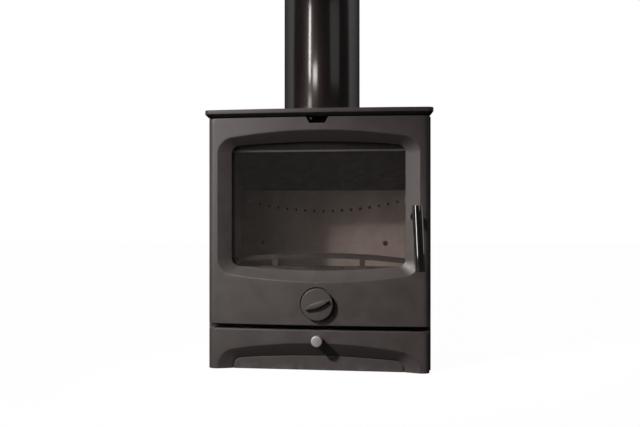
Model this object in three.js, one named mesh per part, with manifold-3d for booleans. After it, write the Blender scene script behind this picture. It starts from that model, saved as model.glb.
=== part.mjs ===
// A compact box wood stove on a plinth, with a bowed front door, an arched window
// and a short length of flue pipe. Millimetres, +Z up. The door faces -Y, and the
// origin is on the floor under the middle of the stove, door handle included.

import * as THREE from 'three';
import { mergeVertices } from 'three/addons/utils/BufferGeometryUtils.js';
import Module from 'manifold-3d';

const wasm = await Module();
wasm.setup();

// ---------------------------------------------------------------- driving sizes

const SEAT = 0.3; // left between pieces that touch
const RUNNING = 0.2; // radial play of a spindle, pin or rod in its bore
const SWEEP = 1.5; // room round a piece that swings past another

// body
const BODY_WIDTH = 411.4;
const BODY_DEPTH = 283; // front of the door frame to the rear of the back panel
const WALL = 6; // cast panels
const FRONT_NARROWING = 1; // each side draws in by this much towards the front
const FLARE_DEPTH = 50; // depth over which it does so
const PLINTH_HEIGHT = 74.2;
const BASE_THICKNESS = 6;
const BASE_RISE = -2.2; // underside of the base plate above the plinth
const BACK_PANEL_BOTTOM = 60;

// top plate
const PLATE_EDGE = 7.5;
const PLATE_CHAMFER = 5.7;
const PLATE_EASING = 1;
const PLATE_CORNER = 12;
const PLATE_BACK_CORNER = 12;
const PLATE_SIDE_OVERHANG = 1.6;
const PLATE_FRONT_OVERHANG = 7.5;
const PLATE_BACK_OVERHANG = 22;

// door
const DOOR_GAP = 8.9; // dark gap between plinth and door
const DOOR_HEIGHT = 378.5;
const DOOR_PLATE_GAP = 1.5;
const DOOR_INSET = 3.9; // door edge inside the body's front corner
const DOOR_DEPTH = 34;
const DOOR_BOW = 7.4; // how far the middle of the front stands before its edges
const DOOR_EDGE_RADIUS = 11.5;
const DOOR_RIM = 22; // solid rim left round the back of the door
const DOOR_EASING = 1.2;
const FRAME_GAP = 4; // door back to frame front, bridged by the rope

// window in the door
const WINDOW_SIDE_RAIL = 42.3;
const WINDOW_TOP_RAIL = 44;
const WINDOW_BOTTOM_RAIL = 98.2;
const WINDOW_TOP_ARCH = 7.5;
const WINDOW_BOTTOM_ARCH = 9;
const WINDOW_CORNER = 16;
const RECESS_DEPTH = 18;
const RECESS_SIDE = 25;
const RECESS_TOP = 20;
const RECESS_BOTTOM = 19.3;
const RECESS_TOP_ARCH = 16.5;
const RECESS_BOTTOM_ARCH = 15.6;
const RECESS_CORNER = 31;
const GLASS_LIP = 3; // iron left between the recess and the back of the door
const GLASS_LAP = 6.5;
const GLASS_THICKNESS = 4;
const GLASS_SEAL_THICKNESS = 2;
const GLASS_SEAL_WIDTH = 6;
const CLIP_WIDTH = 18;
const CLIP_THICKNESS = 2;
const CLIP_FOOT = 9;
const CLIP_LAP = 5;
const CLIP_SPACING = 210;

// rope between door and frame
const ROPE_WIDTH = 8;
const ROPE_GROOVE = 4;
const ROPE_SIDE_INSET = 15; // door edge to the middle of the rope
const ROPE_BOTTOM_INSET = 8;
const ROPE_CORNER = 14;

// airwash control at the top of the door
const NOTCH_TOP_WIDTH = 40.4;
const NOTCH_BOTTOM_WIDTH = 29;
const NOTCH_DEPTH = 11.6;
const SLIDER_TRAVEL = 20;
const SLIDER_THICKNESS = 3;
const SLIDER_WIDTH = 22;
const SLIDER_END_ROOM = 14.7; // to the frame's end blocks, at both ends of its travel
const AIR_SLOT_WIDTH = 18;
const AIR_SLOT_DEPTH = 10;
const AIR_SLOT_PITCH = 38;
const AIR_SLOTS = 6;
const PEG_RADIUS = 2.6;
const PEG_REST_X = -11.8;
const PEG_SETBACK = 10; // peg tip behind the door's face

// air dial
const DIAL_HEIGHT = 39; // centre above the door's lower edge
const DIAL_RADIUS = 28.8;
const DIAL_THICKNESS = 8.5;
const DIAL_STANDOFF = 3;
const DIAL_RIM_EASING = 2;
const DIAL_TILT = 20.9; // degrees, grip up to the right
const GRIP_LENGTH = 45.8;
const GRIP_WIDTH = 10.4;
const GRIP_HEIGHT = 8;
const DIAL_HUB_RADIUS = 9;
const DIAL_BEARING_GAP = 0.3; // hub to the pocket's floor
const DIAL_SPINDLE_RADIUS = 4;
const DIAL_SOCKET = 5;
const DIAL_ROOM = 2.2; // shallow round pocket in the door, round the dial
const DIAL_POCKET_DEPTH = 3.5;
const VALVE_WALL = 8; // from the door's face to the valve pocket
const VALVE_RADIUS = 22.5;
const VALVE_THICKNESS = 2.5;
const VALVE_PORT_RADIUS = 6;
const VALVE_PORT_CIRCLE = 15;
const VALVE_PORTS = 4;
const VALVE_ROOM = 2; // pocket round the valve plate
const COLLAR_RADIUS = 7;
const COLLAR_THICKNESS = 4;

// handle
const HANDLE_INSET = 28; // spindle in from the door's edge
const HANDLE_HEIGHT = 198.4; // spindle above the door's lower edge
const BAR_RADIUS = 9.3;
const BAR_LENGTH = 115.7;
const BAR_ABOVE = 19; // bar end above the spindle
const BAR_OFFSET = 3.6; // bar axis outside the spindle
const BAR_LEAN = 2.6; // degrees, lower end away from the window
const BAR_STANDOFF = 37; // bar axis before the door's face
const BAR_EASING = 1;
const HUB_RADIUS = 8;
const HUB_GAP = 0.6;
const SPINDLE_RADIUS = 5;
const SPINDLE_BOSS = 7.5;
const TONGUE_REACH = 20;
const TONGUE_WIDTH = 11;
const TONGUE_THICKNESS = 9;
const TONGUE_SETBACK = 1.5; // tongue behind the frame's front
const KEEPER_HEIGHT = 14;
const KEEPER_THICKNESS = 6;
const KEEPER_WIDTH = 22;

// hinges
const HINGE_OUT = 4; // pin axis inside the door's edge
const HINGE_BACK = 4; // pin axis before the door's back
const HINGE_END = 18; // bracket pocket at each end of the door
const KNUCKLE_RADIUS = 5.5;
const KNUCKLE_LENGTH = 30;
const HINGE_PIN_RADIUS = 3;
const HINGE_PIN_SHORT = 2; // pin ends this far inside the knuckle
const BRACKET_HEIGHT = 13;
const BRACKET_ARM = 8;
const POCKET_WIDTH = 8;
const POCKET_DEPTH = 14;

// door frame on the body
const FRAME_THICKNESS = 10;
const FRAME_SIDE = 35.2;
const FRAME_BOTTOM = 19.7;
const FRAME_TOP_DROP = 27; // top of the opening under the top plate
const SHELF_THICKNESS = 6;
const SHELF_DEPTH = 34;
const SLIDER_ROOM = 5; // frame top under the top plate
const FRAME_END = 40; // full-height block at each end of the frame

// plinth
const PLINTH_WALL = 9;
const PLINTH_TOP_WALL = 6;
const PLINTH_BACK_POCKET = 21;
const ARCH_RISE = 51.3;
const ARCH_DROP = 19; // how much lower the arch is at its sides
const ARCH_SIDE = 17.5; // leg width beside the arch
const ARCH_CORNER = 35;
const ARCH_CHAMFER_SIDE = 26.5;
const ARCH_CHAMFER_TOP = 23.5;
const ARCH_INNER_DROP = 7.5;
const ARCH_INNER_CORNER = 17;
const ARCH_DEPTH = 15;

// air control under the door
const KNOB_HEIGHT = 57.4;
const KNOB_RADIUS = 9.8;
const KNOB_LENGTH = 14.5;
const KNOB_STANDOFF = 7; // knob back before the plinth face
const KNOB_EASING = 0.8;
const ROD_RADIUS = 4;
const ROD_SOCKET = 8;
const ROD_TRAVEL = 25;
const SHUTTER_WIDTH = 144;
const SHUTTER_THICKNESS = 3;
const SHUTTER_LAP = 6;
const SHUTTER_TAB = 24;
const INLET_WIDTH = 124;
const INLET_DEPTH = 18;
const GUIDE_WIDTH = 20;
const GUIDE_THICKNESS = 8;
const GUIDE_DEPTH = 142; // behind the door frame

// firebox
const GRATE_DROP = 7.6; // grate top under the window's lower edge
const GRATE_THICKNESS = 8;
const GRATE_SLOT = 8;
const GRATE_SLOT_LENGTH = 150;
const GRATE_PITCH = 20;
const GRATE_SLOTS = 11;
const LEDGE = 10; // rib that carries the grate
const LEDGE_THICKNESS = 8;
const BRICK = 25;
const LINER = 20;
const LINER_HEIGHT = 160;
const AIR_BOX_DEPTH = 30;
const AIR_BOX_SHEET = 2;
const AIR_BOX_SIDE = 45; // from the body's side
const AIR_BOX_OVERLAP = 8; // air box stops below the liner's top
const AIR_HOLES = 17;
const AIR_HOLE_RADIUS = 3.4;
const AIR_HOLE_INSET = 18.1; // last hole from the liner's end
const AIR_HOLE_HEIGHT = 116.9; // middle of the row above the grate
const AIR_HOLE_SMILE = 19.2; // how much higher the row is at its ends
const LINER_SCREW_INSET = 44.5; // from the liner's end
const LINER_SCREW_HEIGHT = 49.2;
const BAFFLE_THICKNESS = 6;
const BAFFLE_FRONT = 62; // behind the door frame's front
const BAFFLE_FRONT_DROP = 46; // underside under the top plate
const DEFLECTOR_SETBACK = 4; // behind the frame
const DEFLECTOR_SHEET = 3;
const DEFLECTOR_LIP = 9;
const DEFLECTOR_COVER = 15.9; // hangs this far below the glass opening's top
const GUARD_SETBACK = 8; // log guard behind the frame
const GUARD_THICKNESS = 9;
const GUARD_HEIGHT = 38.2;
const GUARD_ARCH = 9.7;
const GUARD_BAR = 10.1;
const GUARD_POST_X = 81.5;
const GUARD_FOOT = 12;
const GUARD_INSET = 8; // from the side bricks
const PAN_WIDTH = 296;
const PAN_DEPTH = 195;
const PAN_HEIGHT = 58;
const PAN_SHEET = 2.5;
const PAN_SETBACK = 12;
const PAN_GRIP_WIDTH = 70;
const PAN_GRIP_REACH = 7;

// flue
const FLUE_SETBACK = 200; // flue axis behind the door's face
const PIPE_RADIUS = 76.5;
const PIPE_WALL = 2;
const PIPE_LENGTH = 265;
const SPIGOT_WALL = 5;
const SPIGOT_HEIGHT = 45;
const SPIGOT_FLANGE = 15.5; // beyond the pipe
const SPIGOT_FLANGE_THICKNESS = 8;

// rear
const OUTLET_RADIUS = 48;
const OUTLET_DROP = 67; // outlet axis under the top plate
const COVER_LAP = 16;
const COVER_THICKNESS = 5;
const SHIELD_BOTTOM = 92;
const SHIELD_TOP_DROP = 145; // under the top plate
const SHIELD_INSET = 26; // from the body's side
const SHIELD_SHEET = 1.5;
const SHIELD_STANDOFF = 12;
const SHIELD_FLANGE = 9;
const SHIELD_STUD_INSET = 18;
const VENT_WIDTH = 8;
const VENT_HEIGHT = 50;
const VENT_PITCH = 34;
const VENTS = 8;

// screws
const SHANK_RADIUS = 2.5;
const SHANK_LENGTH = 9;
const HEAD_RADIUS = 5;
const HEAD_HEIGHT = 3;
const STUD_SHOULDER = 5;

// facets
const ROUND = 32;
const FINE_ROUND = 48;
const SCREW_ROUND = 10;
const GRIP_STEPS = 12;
const BOW_STEPS = 24;
const CORNER_STEPS = 8;
const ARCH_STEPS = 14;

// ---------------------------------------------------------------- derived places

const BODY_HALF = BODY_WIDTH / 2;
const FRONT_HALF = BODY_HALF - FRONT_NARROWING;
const DOOR_HALF = FRONT_HALF - DOOR_INSET;
const FRAME_HALF = FRONT_HALF - WALL - SEAT;

const PLATE_DEPTH =
  PLATE_FRONT_OVERHANG + DOOR_DEPTH + FRAME_GAP + BODY_DEPTH + PLATE_BACK_OVERHANG;
const HANDLE_REACH = BAR_STANDOFF + BAR_RADIUS - PLATE_FRONT_OVERHANG;
const PLATE_FRONT_Y = (HANDLE_REACH - PLATE_DEPTH) / 2;
const PLATE_BACK_Y = PLATE_FRONT_Y + PLATE_DEPTH;
const FACE_Y = PLATE_FRONT_Y + PLATE_FRONT_OVERHANG;
const DOOR_BACK_Y = FACE_Y + DOOR_DEPTH;
const FRAME_Y = DOOR_BACK_Y + FRAME_GAP;
const FRAME_BACK_Y = FRAME_Y + FRAME_THICKNESS;
const BACK_OUT_Y = FRAME_Y + BODY_DEPTH;
const BACK_IN_Y = BACK_OUT_Y - WALL;
const AIR_BOX_Y = BACK_IN_Y - SEAT - AIR_BOX_DEPTH;
const LINER_BACK_Y = AIR_BOX_Y - SEAT;
const LINER_Y = LINER_BACK_Y - LINER;

const DOOR_BOTTOM = PLINTH_HEIGHT + DOOR_GAP;
const DOOR_TOP = DOOR_BOTTOM + DOOR_HEIGHT;
const PLATE_UNDER = DOOR_TOP + DOOR_PLATE_GAP;
const PLATE_TOP = PLATE_UNDER + PLATE_CHAMFER + PLATE_EDGE;
const BASE_Z = PLINTH_HEIGHT + BASE_RISE;
const BASE_TOP = BASE_Z + BASE_THICKNESS;
const FRAME_BOTTOM_Z = BASE_TOP + SEAT;
const FRAME_TOP_Z = PLATE_UNDER - SLIDER_ROOM;
const OPENING_HALF = FRAME_HALF - FRAME_SIDE;
const SLIDER_LENGTH = 2 * (FRAME_HALF - FRAME_END - SLIDER_END_ROOM) - SLIDER_TRAVEL;
const OPENING_BOTTOM = FRAME_BOTTOM_Z + FRAME_BOTTOM;
const OPENING_TOP = PLATE_UNDER - FRAME_TOP_DROP;

const WINDOW_HALF = DOOR_HALF - WINDOW_SIDE_RAIL;
const WINDOW_BOTTOM = DOOR_BOTTOM + WINDOW_BOTTOM_RAIL;
const WINDOW_TOP = DOOR_TOP - WINDOW_TOP_RAIL;
const RECESS_FLOOR_Y = FACE_Y + RECESS_DEPTH;
const GLASS_LEDGE_Y = RECESS_FLOOR_Y + GLASS_LIP;
const GLASS_Y = GLASS_LEDGE_Y + GLASS_SEAL_THICKNESS + 2 * SEAT;
const CLIP_Y = GLASS_Y + GLASS_THICKNESS + SEAT;

const GRATE_TOP = WINDOW_BOTTOM - GRATE_DROP;
const GRATE_BOTTOM = GRATE_TOP - GRATE_THICKNESS;
const CHAMBER_HALF = BODY_HALF - WALL; // inside the side panels
const BRICK_FACE = CHAMBER_HALF - SEAT - BRICK;
const LINER_HALF = BRICK_FACE - SEAT;
const AIR_ROW_HALF = LINER_HALF - AIR_HOLE_INSET;
const LINER_TOP = GRATE_TOP + SEAT + LINER_HEIGHT;
const BAFFLE_FRONT_Y = FRAME_Y + BAFFLE_FRONT;
const BAFFLE_FRONT_Z = PLATE_UNDER - BAFFLE_FRONT_DROP;

const HANDLE_X = DOOR_HALF - HANDLE_INSET;
const HANDLE_Z = DOOR_BOTTOM + HANDLE_HEIGHT;
const DIAL_Z = DOOR_BOTTOM + DIAL_HEIGHT;
const HINGE_X = -(DOOR_HALF - HINGE_OUT);
const HINGE_Y = DOOR_BACK_Y - HINGE_BACK;
const FLUE_Y = FACE_Y + FLUE_SETBACK;
const PIPE_BOTTOM = PLATE_TOP + SEAT + SPIGOT_FLANGE_THICKNESS + SEAT;
const OUTLET_Z = PLATE_UNDER - OUTLET_DROP;
const INLET_Y = BACK_IN_Y - SEAT - AIR_BOX_DEPTH / 2;

const BOW_RADIUS = (DOOR_HALF ** 2 + DOOR_BOW ** 2) / (2 * DOOR_BOW);
const bowDepth = (x) => BOW_RADIUS - Math.sqrt(Math.max(0, BOW_RADIUS ** 2 - x ** 2));
const degrees = THREE.MathUtils.degToRad;

// ---------------------------------------------------------------- solids

function signedVolume(position, triangles) {
  let sum = 0;
  const corner = [new THREE.Vector3(), new THREE.Vector3(), new THREE.Vector3()];
  for (let i = 0; i < triangles.length; i += 3) {
    corner.forEach((v, k) => v.fromArray(position, 3 * triangles[i + k]));
    sum += corner[0].dot(corner[1].clone().cross(corner[2]));
  }
  return sum / 6;
}

function toSolid(geometry) {
  const bare = geometry.index ? geometry.toNonIndexed() : geometry.clone();
  bare.deleteAttribute('normal');
  bare.deleteAttribute('uv');
  const merged = mergeVertices(bare, 1e-4);
  const position = merged.attributes.position.array;
  const triangles = [];
  for (let i = 0; i < merged.index.count; i += 3) {
    const [a, b, c] = [0, 1, 2].map((k) => merged.index.array[i + k]);
    if (a !== b && b !== c && c !== a) triangles.push(a, b, c);
  }
  if (signedVolume(position, triangles) < 0) {
    for (let i = 0; i < triangles.length; i += 3) {
      [triangles[i], triangles[i + 1]] = [triangles[i + 1], triangles[i]];
    }
  }
  return new wasm.Manifold(new wasm.Mesh({
    numProp: 3,
    vertProperties: Float32Array.from(position),
    triVerts: Uint32Array.from(triangles),
  }));
}

function toGeometry(solid) {
  const { vertProperties, triVerts } = solid.getMesh();
  const geometry = new THREE.BufferGeometry();
  geometry.setAttribute('position', new THREE.BufferAttribute(vertProperties, 3));
  geometry.setIndex(new THREE.BufferAttribute(triVerts, 1));
  const faceted = geometry.toNonIndexed();
  faceted.computeVertexNormals();
  return faceted;
}

const cut = (solid, ...tools) => tools.reduce((rest, tool) => rest.subtract(tool), solid);
const join = (solid, ...others) => others.reduce((whole, other) => whole.add(other), solid);

function box(x0, x1, y0, y1, z0, z1) {
  const geometry = new THREE.BoxGeometry(x1 - x0, y1 - y0, z1 - z0);
  geometry.translate((x0 + x1) / 2, (y0 + y1) / 2, (z0 + z1) / 2);
  return toSolid(geometry);
}

// outline in X and Y, raised from z0 to z1
function prism(outline, z0, z1) {
  const geometry = new THREE.ExtrudeGeometry(new THREE.Shape(outline), {
    depth: z1 - z0,
    bevelEnabled: false,
  });
  geometry.translate(0, 0, z0);
  return toSolid(geometry);
}

// outline in X and Z, from y0 back to y1
function upright(outline, y0, y1) {
  const geometry = new THREE.ExtrudeGeometry(new THREE.Shape(outline), {
    depth: y1 - y0,
    bevelEnabled: false,
  });
  geometry.rotateX(Math.PI / 2);
  geometry.translate(0, y1, 0);
  return toSolid(geometry);
}

// outline in Y and Z, from x0 to x1
function sideways(outline, x0, x1) {
  const geometry = new THREE.ExtrudeGeometry(new THREE.Shape(outline), {
    depth: x1 - x0,
    bevelEnabled: false,
  });
  geometry.rotateX(Math.PI / 2);
  geometry.rotateZ(Math.PI / 2);
  geometry.translate(x0, 0, 0);
  return toSolid(geometry);
}

// profile of [radius, height] pairs turned about +Z
function revolve(profile, segments = ROUND) {
  const geometry = new THREE.LatheGeometry(
    profile.map(([radius, height]) => new THREE.Vector2(radius, height)),
    segments,
  );
  geometry.rotateX(Math.PI / 2);
  return toSolid(geometry);
}

function rodZ(radius, z0, z1, x = 0, y = 0, segments = ROUND) {
  const geometry = new THREE.CylinderGeometry(radius, radius, z1 - z0, segments);
  geometry.rotateX(Math.PI / 2);
  geometry.translate(x, y, (z0 + z1) / 2);
  return toSolid(geometry);
}

function rodY(radius, y0, y1, x = 0, z = 0, segments = ROUND) {
  const geometry = new THREE.CylinderGeometry(radius, radius, y1 - y0, segments);
  geometry.translate(x, (y0 + y1) / 2, z);
  return toSolid(geometry);
}

// rings with the same number of points each, joined in order and capped;
// flat gives the two coordinates in which the end rings are filled
function loft(rings, flat) {
  const count = rings[0].length;
  const positions = rings.flat().flatMap((point) => point.toArray());
  const triangles = [];
  for (let ring = 0; ring + 1 < rings.length; ring += 1) {
    for (let i = 0; i < count; i += 1) {
      const a = ring * count + i;
      const b = ring * count + ((i + 1) % count);
      triangles.push(a, b, b + count, a, b + count, a + count);
    }
  }
  const cap = (ring, turned) => {
    const contour = rings[ring].map(flat);
    for (const face of THREE.ShapeUtils.triangulateShape(contour, [])) {
      const [a, b, c] = face.map((i) => ring * count + i);
      triangles.push(...(turned ? [a, c, b] : [a, b, c]));
    }
  };
  cap(0, true);
  cap(rings.length - 1, false);
  const geometry = new THREE.BufferGeometry();
  geometry.setAttribute('position', new THREE.Float32BufferAttribute(positions, 3));
  geometry.setIndex(triangles);
  return toSolid(geometry);
}

// ---------------------------------------------------------------- outlines

function arc(cx, cy, radius, from, to, steps) {
  return Array.from({ length: steps + 1 }, (_, i) => {
    const angle = degrees(from + ((to - from) * i) / steps);
    return new THREE.Vector2(cx + radius * Math.cos(angle), cy + radius * Math.sin(angle));
  });
}

// plan with the bowed front, round front corners and round or square back corners
function bowedPlan(half, corner, frontY, backY, backCorner = 0) {
  const flatHalf = half - corner;
  const cornerY = frontY + bowDepth(flatHalf) + corner;
  const front = Array.from({ length: BOW_STEPS - 1 }, (_, i) => {
    const x = -flatHalf + (2 * flatHalf * (i + 1)) / BOW_STEPS;
    return new THREE.Vector2(x, frontY + bowDepth(x));
  });
  const back = backCorner > 0
    ? [
      ...arc(half - backCorner, backY - backCorner, backCorner, 0, 90, CORNER_STEPS),
      ...arc(backCorner - half, backY - backCorner, backCorner, 90, 180, CORNER_STEPS),
    ]
    : [new THREE.Vector2(half, backY), new THREE.Vector2(-half, backY)];
  return [
    ...arc(-flatHalf, cornerY, corner, 180, 270, CORNER_STEPS),
    ...front,
    ...arc(flatHalf, cornerY, corner, 270, 360, CORNER_STEPS),
    ...back,
  ];
}

// upper half of an arched opening, right to left: corner, arch, corner;
// drop is how much lower the arch would be at the full half width
function archedTop(half, middle, drop, corner) {
  const flatHalf = half - corner;
  const slope = Math.atan((2 * drop * flatHalf) / half ** 2);
  const turnX = flatHalf + corner * Math.sin(slope);
  const height = (x) => middle - drop * (x / half) ** 2;
  const cornerZ = height(turnX) - corner * Math.cos(slope);
  const end = 90 - THREE.MathUtils.radToDeg(slope);
  const arch = Array.from({ length: ARCH_STEPS - 1 }, (_, i) => {
    const x = turnX - (2 * turnX * (i + 1)) / ARCH_STEPS;
    return new THREE.Vector2(x, height(x));
  });
  return [
    ...arc(flatHalf, cornerZ, corner, 0, end, CORNER_STEPS),
    ...arch,
    ...arc(-flatHalf, cornerZ, corner, 180 - end, 180, CORNER_STEPS),
  ];
}

// closed arched opening, lower half made like the upper one and turned over
function archedOpening({ half, top, topDrop, bottom, bottomDrop, corner }) {
  const upper = archedTop(half, top, topDrop, corner);
  const lower = archedTop(half, -bottom, bottomDrop, corner)
    .map((point) => new THREE.Vector2(-point.x, -point.y));
  return [...upper, ...lower];
}

const onFace = (point, before = 0) =>
  new THREE.Vector3(point.x, FACE_Y + bowDepth(point.x) - before, point.y);
const atDepth = (y) => (point) => new THREE.Vector3(point.x, y, point.y);
const frontView = (point) => new THREE.Vector2(point.x, point.z);
const planView = (point) => new THREE.Vector2(point.x, point.y);

// cutter for a chamfered recess: outer outline on the bowed face, inner outline at
// the floor, and on through to throughY
function recessCutter(outer, inner, floorY, throughY) {
  const clear = 0.05; // lifts the outer outline just off the face
  return loft([
    outer.map(atDepth(PLATE_FRONT_Y)),
    outer.map((point) => onFace(point, clear)),
    inner.map(atDepth(floorY)),
    inner.map(atDepth(throughY)),
  ], frontView);
}

function roundedFrame(half, z0, z1, corner) {
  return [
    ...arc(half - corner, z1 - corner, corner, 0, 90, 4),
    ...arc(corner - half, z1 - corner, corner, 90, 180, 4),
    ...arc(corner - half, z0 + corner, corner, 180, 270, 4),
    ...arc(half - corner, z0 + corner, corner, 270, 360, 4),
  ];
}

// flat ring of the given width, middle line on the rounded rectangle
function ringBetween(half, z0, z1, corner, width, y0, y1) {
  const w = width / 2;
  return cut(
    upright(roundedFrame(half + w, z0 - w, z1 + w, corner + w), y0, y1),
    upright(roundedFrame(half - w, z0 + w, z1 - w, corner - w), y0 - 1, y1 + 1),
  );
}

// inside or outside line of a side panel: x at each depth, drawn in at the front
function flareLine(offset) {
  const steps = 6;
  const front = Array.from({ length: steps + 1 }, (_, i) => {
    const share = i / steps;
    const x = FRONT_HALF + FRONT_NARROWING * Math.sin((share * Math.PI) / 2) - offset;
    return new THREE.Vector2(x, FRAME_Y + FLARE_DEPTH * share);
  });
  return front;
}

// ---------------------------------------------------------------- finishes

const finish = (color, roughness, metalness) =>
  new THREE.MeshStandardMaterial({ color, roughness, metalness });
const FINISH = {
  paint: () => finish(0x5e5756, 0.62, 0.2),
  pipe: () => finish(0x2a211f, 0.22, 0.1),
  chrome: () => finish(0xb8b4b0, 0.12, 1),
  satin: () => finish(0xa19b97, 0.32, 1),
  steel: () => finish(0x7d7874, 0.4, 0.9),
  plate: () => finish(0x4b4442, 0.6, 0.6),
  iron: () => finish(0x3a3331, 0.75, 0.5),
  liner: () => finish(0x57504b, 0.85, 0.1),
  glass: () => {
    const glass = finish(0x2c2826, 0.05, 0);
    glass.transparent = true;
    glass.opacity = 0.3;
    return glass;
  },
  rope: () => finish(0x3b3937, 0.95, 0),
};

const stove = new THREE.Group();

function add(name, solid, look, parent = stove) {
  const mesh = new THREE.Mesh(toGeometry(solid), FINISH[look]());
  mesh.name = name;
  parent.add(mesh);
  return mesh;
}

// a group whose own +Z looks out of the front, with +X to the right and +Y up
function frontGroup(x, y, z, tilt = 0) {
  const facing = new THREE.Group();
  facing.position.set(x, y, z);
  facing.rotation.x = Math.PI / 2;
  const turned = new THREE.Group();
  turned.rotation.z = degrees(tilt);
  facing.add(turned);
  stove.add(facing);
  return turned;
}

// ---------------------------------------------------------------- screws

// domed head above z = 0, shank below it
function screwSolid(shank = SHANK_LENGTH) {
  return revolve([
    [0, -shank],
    [SHANK_RADIUS, -shank],
    [SHANK_RADIUS, 0],
    [HEAD_RADIUS, 0],
    [HEAD_RADIUS, HEAD_HEIGHT * 0.5],
    [HEAD_RADIUS * 0.6, HEAD_HEIGHT],
    [0, HEAD_HEIGHT],
  ], SCREW_ROUND);
}

const HOLE_RADIUS = SHANK_RADIUS + SEAT;
const TURN = { up: [0, 0, 0], back: [-Math.PI / 2, 0, 0], front: [Math.PI / 2, 0, 0] };

function addScrew(name, solid, position, facing, look = 'steel') {
  const mesh = add(name, solid, look);
  mesh.position.set(...position);
  mesh.rotation.set(...TURN[facing]);
}

// ---------------------------------------------------------------- body

const bodyBackY = BACK_IN_Y - SEAT;

function sidePanel(sign) {
  const outside = flareLine(0);
  const inside = flareLine(WALL).reverse();
  const plan = [
    ...outside,
    new THREE.Vector2(BODY_HALF, bodyBackY),
    new THREE.Vector2(CHAMBER_HALF, bodyBackY),
    ...inside,
  ].map((point) => new THREE.Vector2(sign * point.x, point.y));
  const ledge = [CHAMBER_HALF - LEDGE, CHAMBER_HALF + WALL / 2].map((x) => sign * x);
  return join(
    prism(plan, 0, PLATE_UNDER - SEAT),
    box(
      Math.min(...ledge), Math.max(...ledge),
      FRAME_BACK_Y + SEAT, LINER_BACK_Y,
      GRATE_BOTTOM - SEAT - LEDGE_THICKNESS, GRATE_BOTTOM - SEAT,
    ),
  );
}

function sidePanels() {
  add('right_side_panel', sidePanel(1), 'paint');
  add('left_side_panel', sidePanel(-1), 'paint');
}

// screw places on the rear: cover plate round the outlet, and studs of the shield
const coverScrews = [90, 210, 330].map((angle) => [
  (OUTLET_RADIUS + COVER_LAP / 2 + 1) * Math.cos(degrees(angle)),
  OUTLET_Z + (OUTLET_RADIUS + COVER_LAP / 2 + 1) * Math.sin(degrees(angle)),
]);
const SHIELD_HALF = BODY_HALF - SHIELD_INSET;
const SHIELD_TOP = PLATE_UNDER - SHIELD_TOP_DROP;
const shieldStuds = [-1, 1].flatMap((side) => [
  [side * (SHIELD_HALF - SHIELD_STUD_INSET), SHIELD_BOTTOM + SHIELD_STUD_INSET],
  [side * (SHIELD_HALF - SHIELD_STUD_INSET), SHIELD_TOP - SHIELD_STUD_INSET],
]);

function backPanel() {
  const holes = [...coverScrews, ...shieldStuds].map(([x, z]) =>
    rodY(HOLE_RADIUS, BACK_IN_Y - 1, BACK_OUT_Y + 1, x, z, SCREW_ROUND));
  add('back_panel', cut(
    box(-BODY_HALF, BODY_HALF, BACK_IN_Y, BACK_OUT_Y, BACK_PANEL_BOTTOM, PLATE_UNDER - SEAT),
    rodY(OUTLET_RADIUS, BACK_IN_Y - 1, BACK_OUT_Y + 1, 0, OUTLET_Z, FINE_ROUND),
    ...holes,
  ), 'paint');
}

function outletCover() {
  const radius = OUTLET_RADIUS + COVER_LAP;
  const y = BACK_OUT_Y + SEAT;
  const disc = revolve([
    [0, 0],
    [radius, 0],
    [radius, COVER_THICKNESS - 1],
    [radius - 1, COVER_THICKNESS],
    [OUTLET_RADIUS, COVER_THICKNESS],
    [OUTLET_RADIUS - 4, COVER_THICKNESS + 3],
    [0, COVER_THICKNESS + 3],
  ], FINE_ROUND).rotate([-90, 0, 0]).translate([0, y, OUTLET_Z]);
  const holes = coverScrews.map(([x, z]) =>
    rodY(HOLE_RADIUS, y - 1, y + COVER_THICKNESS + 1, x, z, SCREW_ROUND));
  add('outlet_cover', cut(disc, ...holes), 'paint');
  coverScrews.forEach(([x, z], i) => addScrew(
    `outlet_cover_screw_${i + 1}`, screwSolid(), [x, y + COVER_THICKNESS + SEAT, z], 'back',
  ));
}

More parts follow.
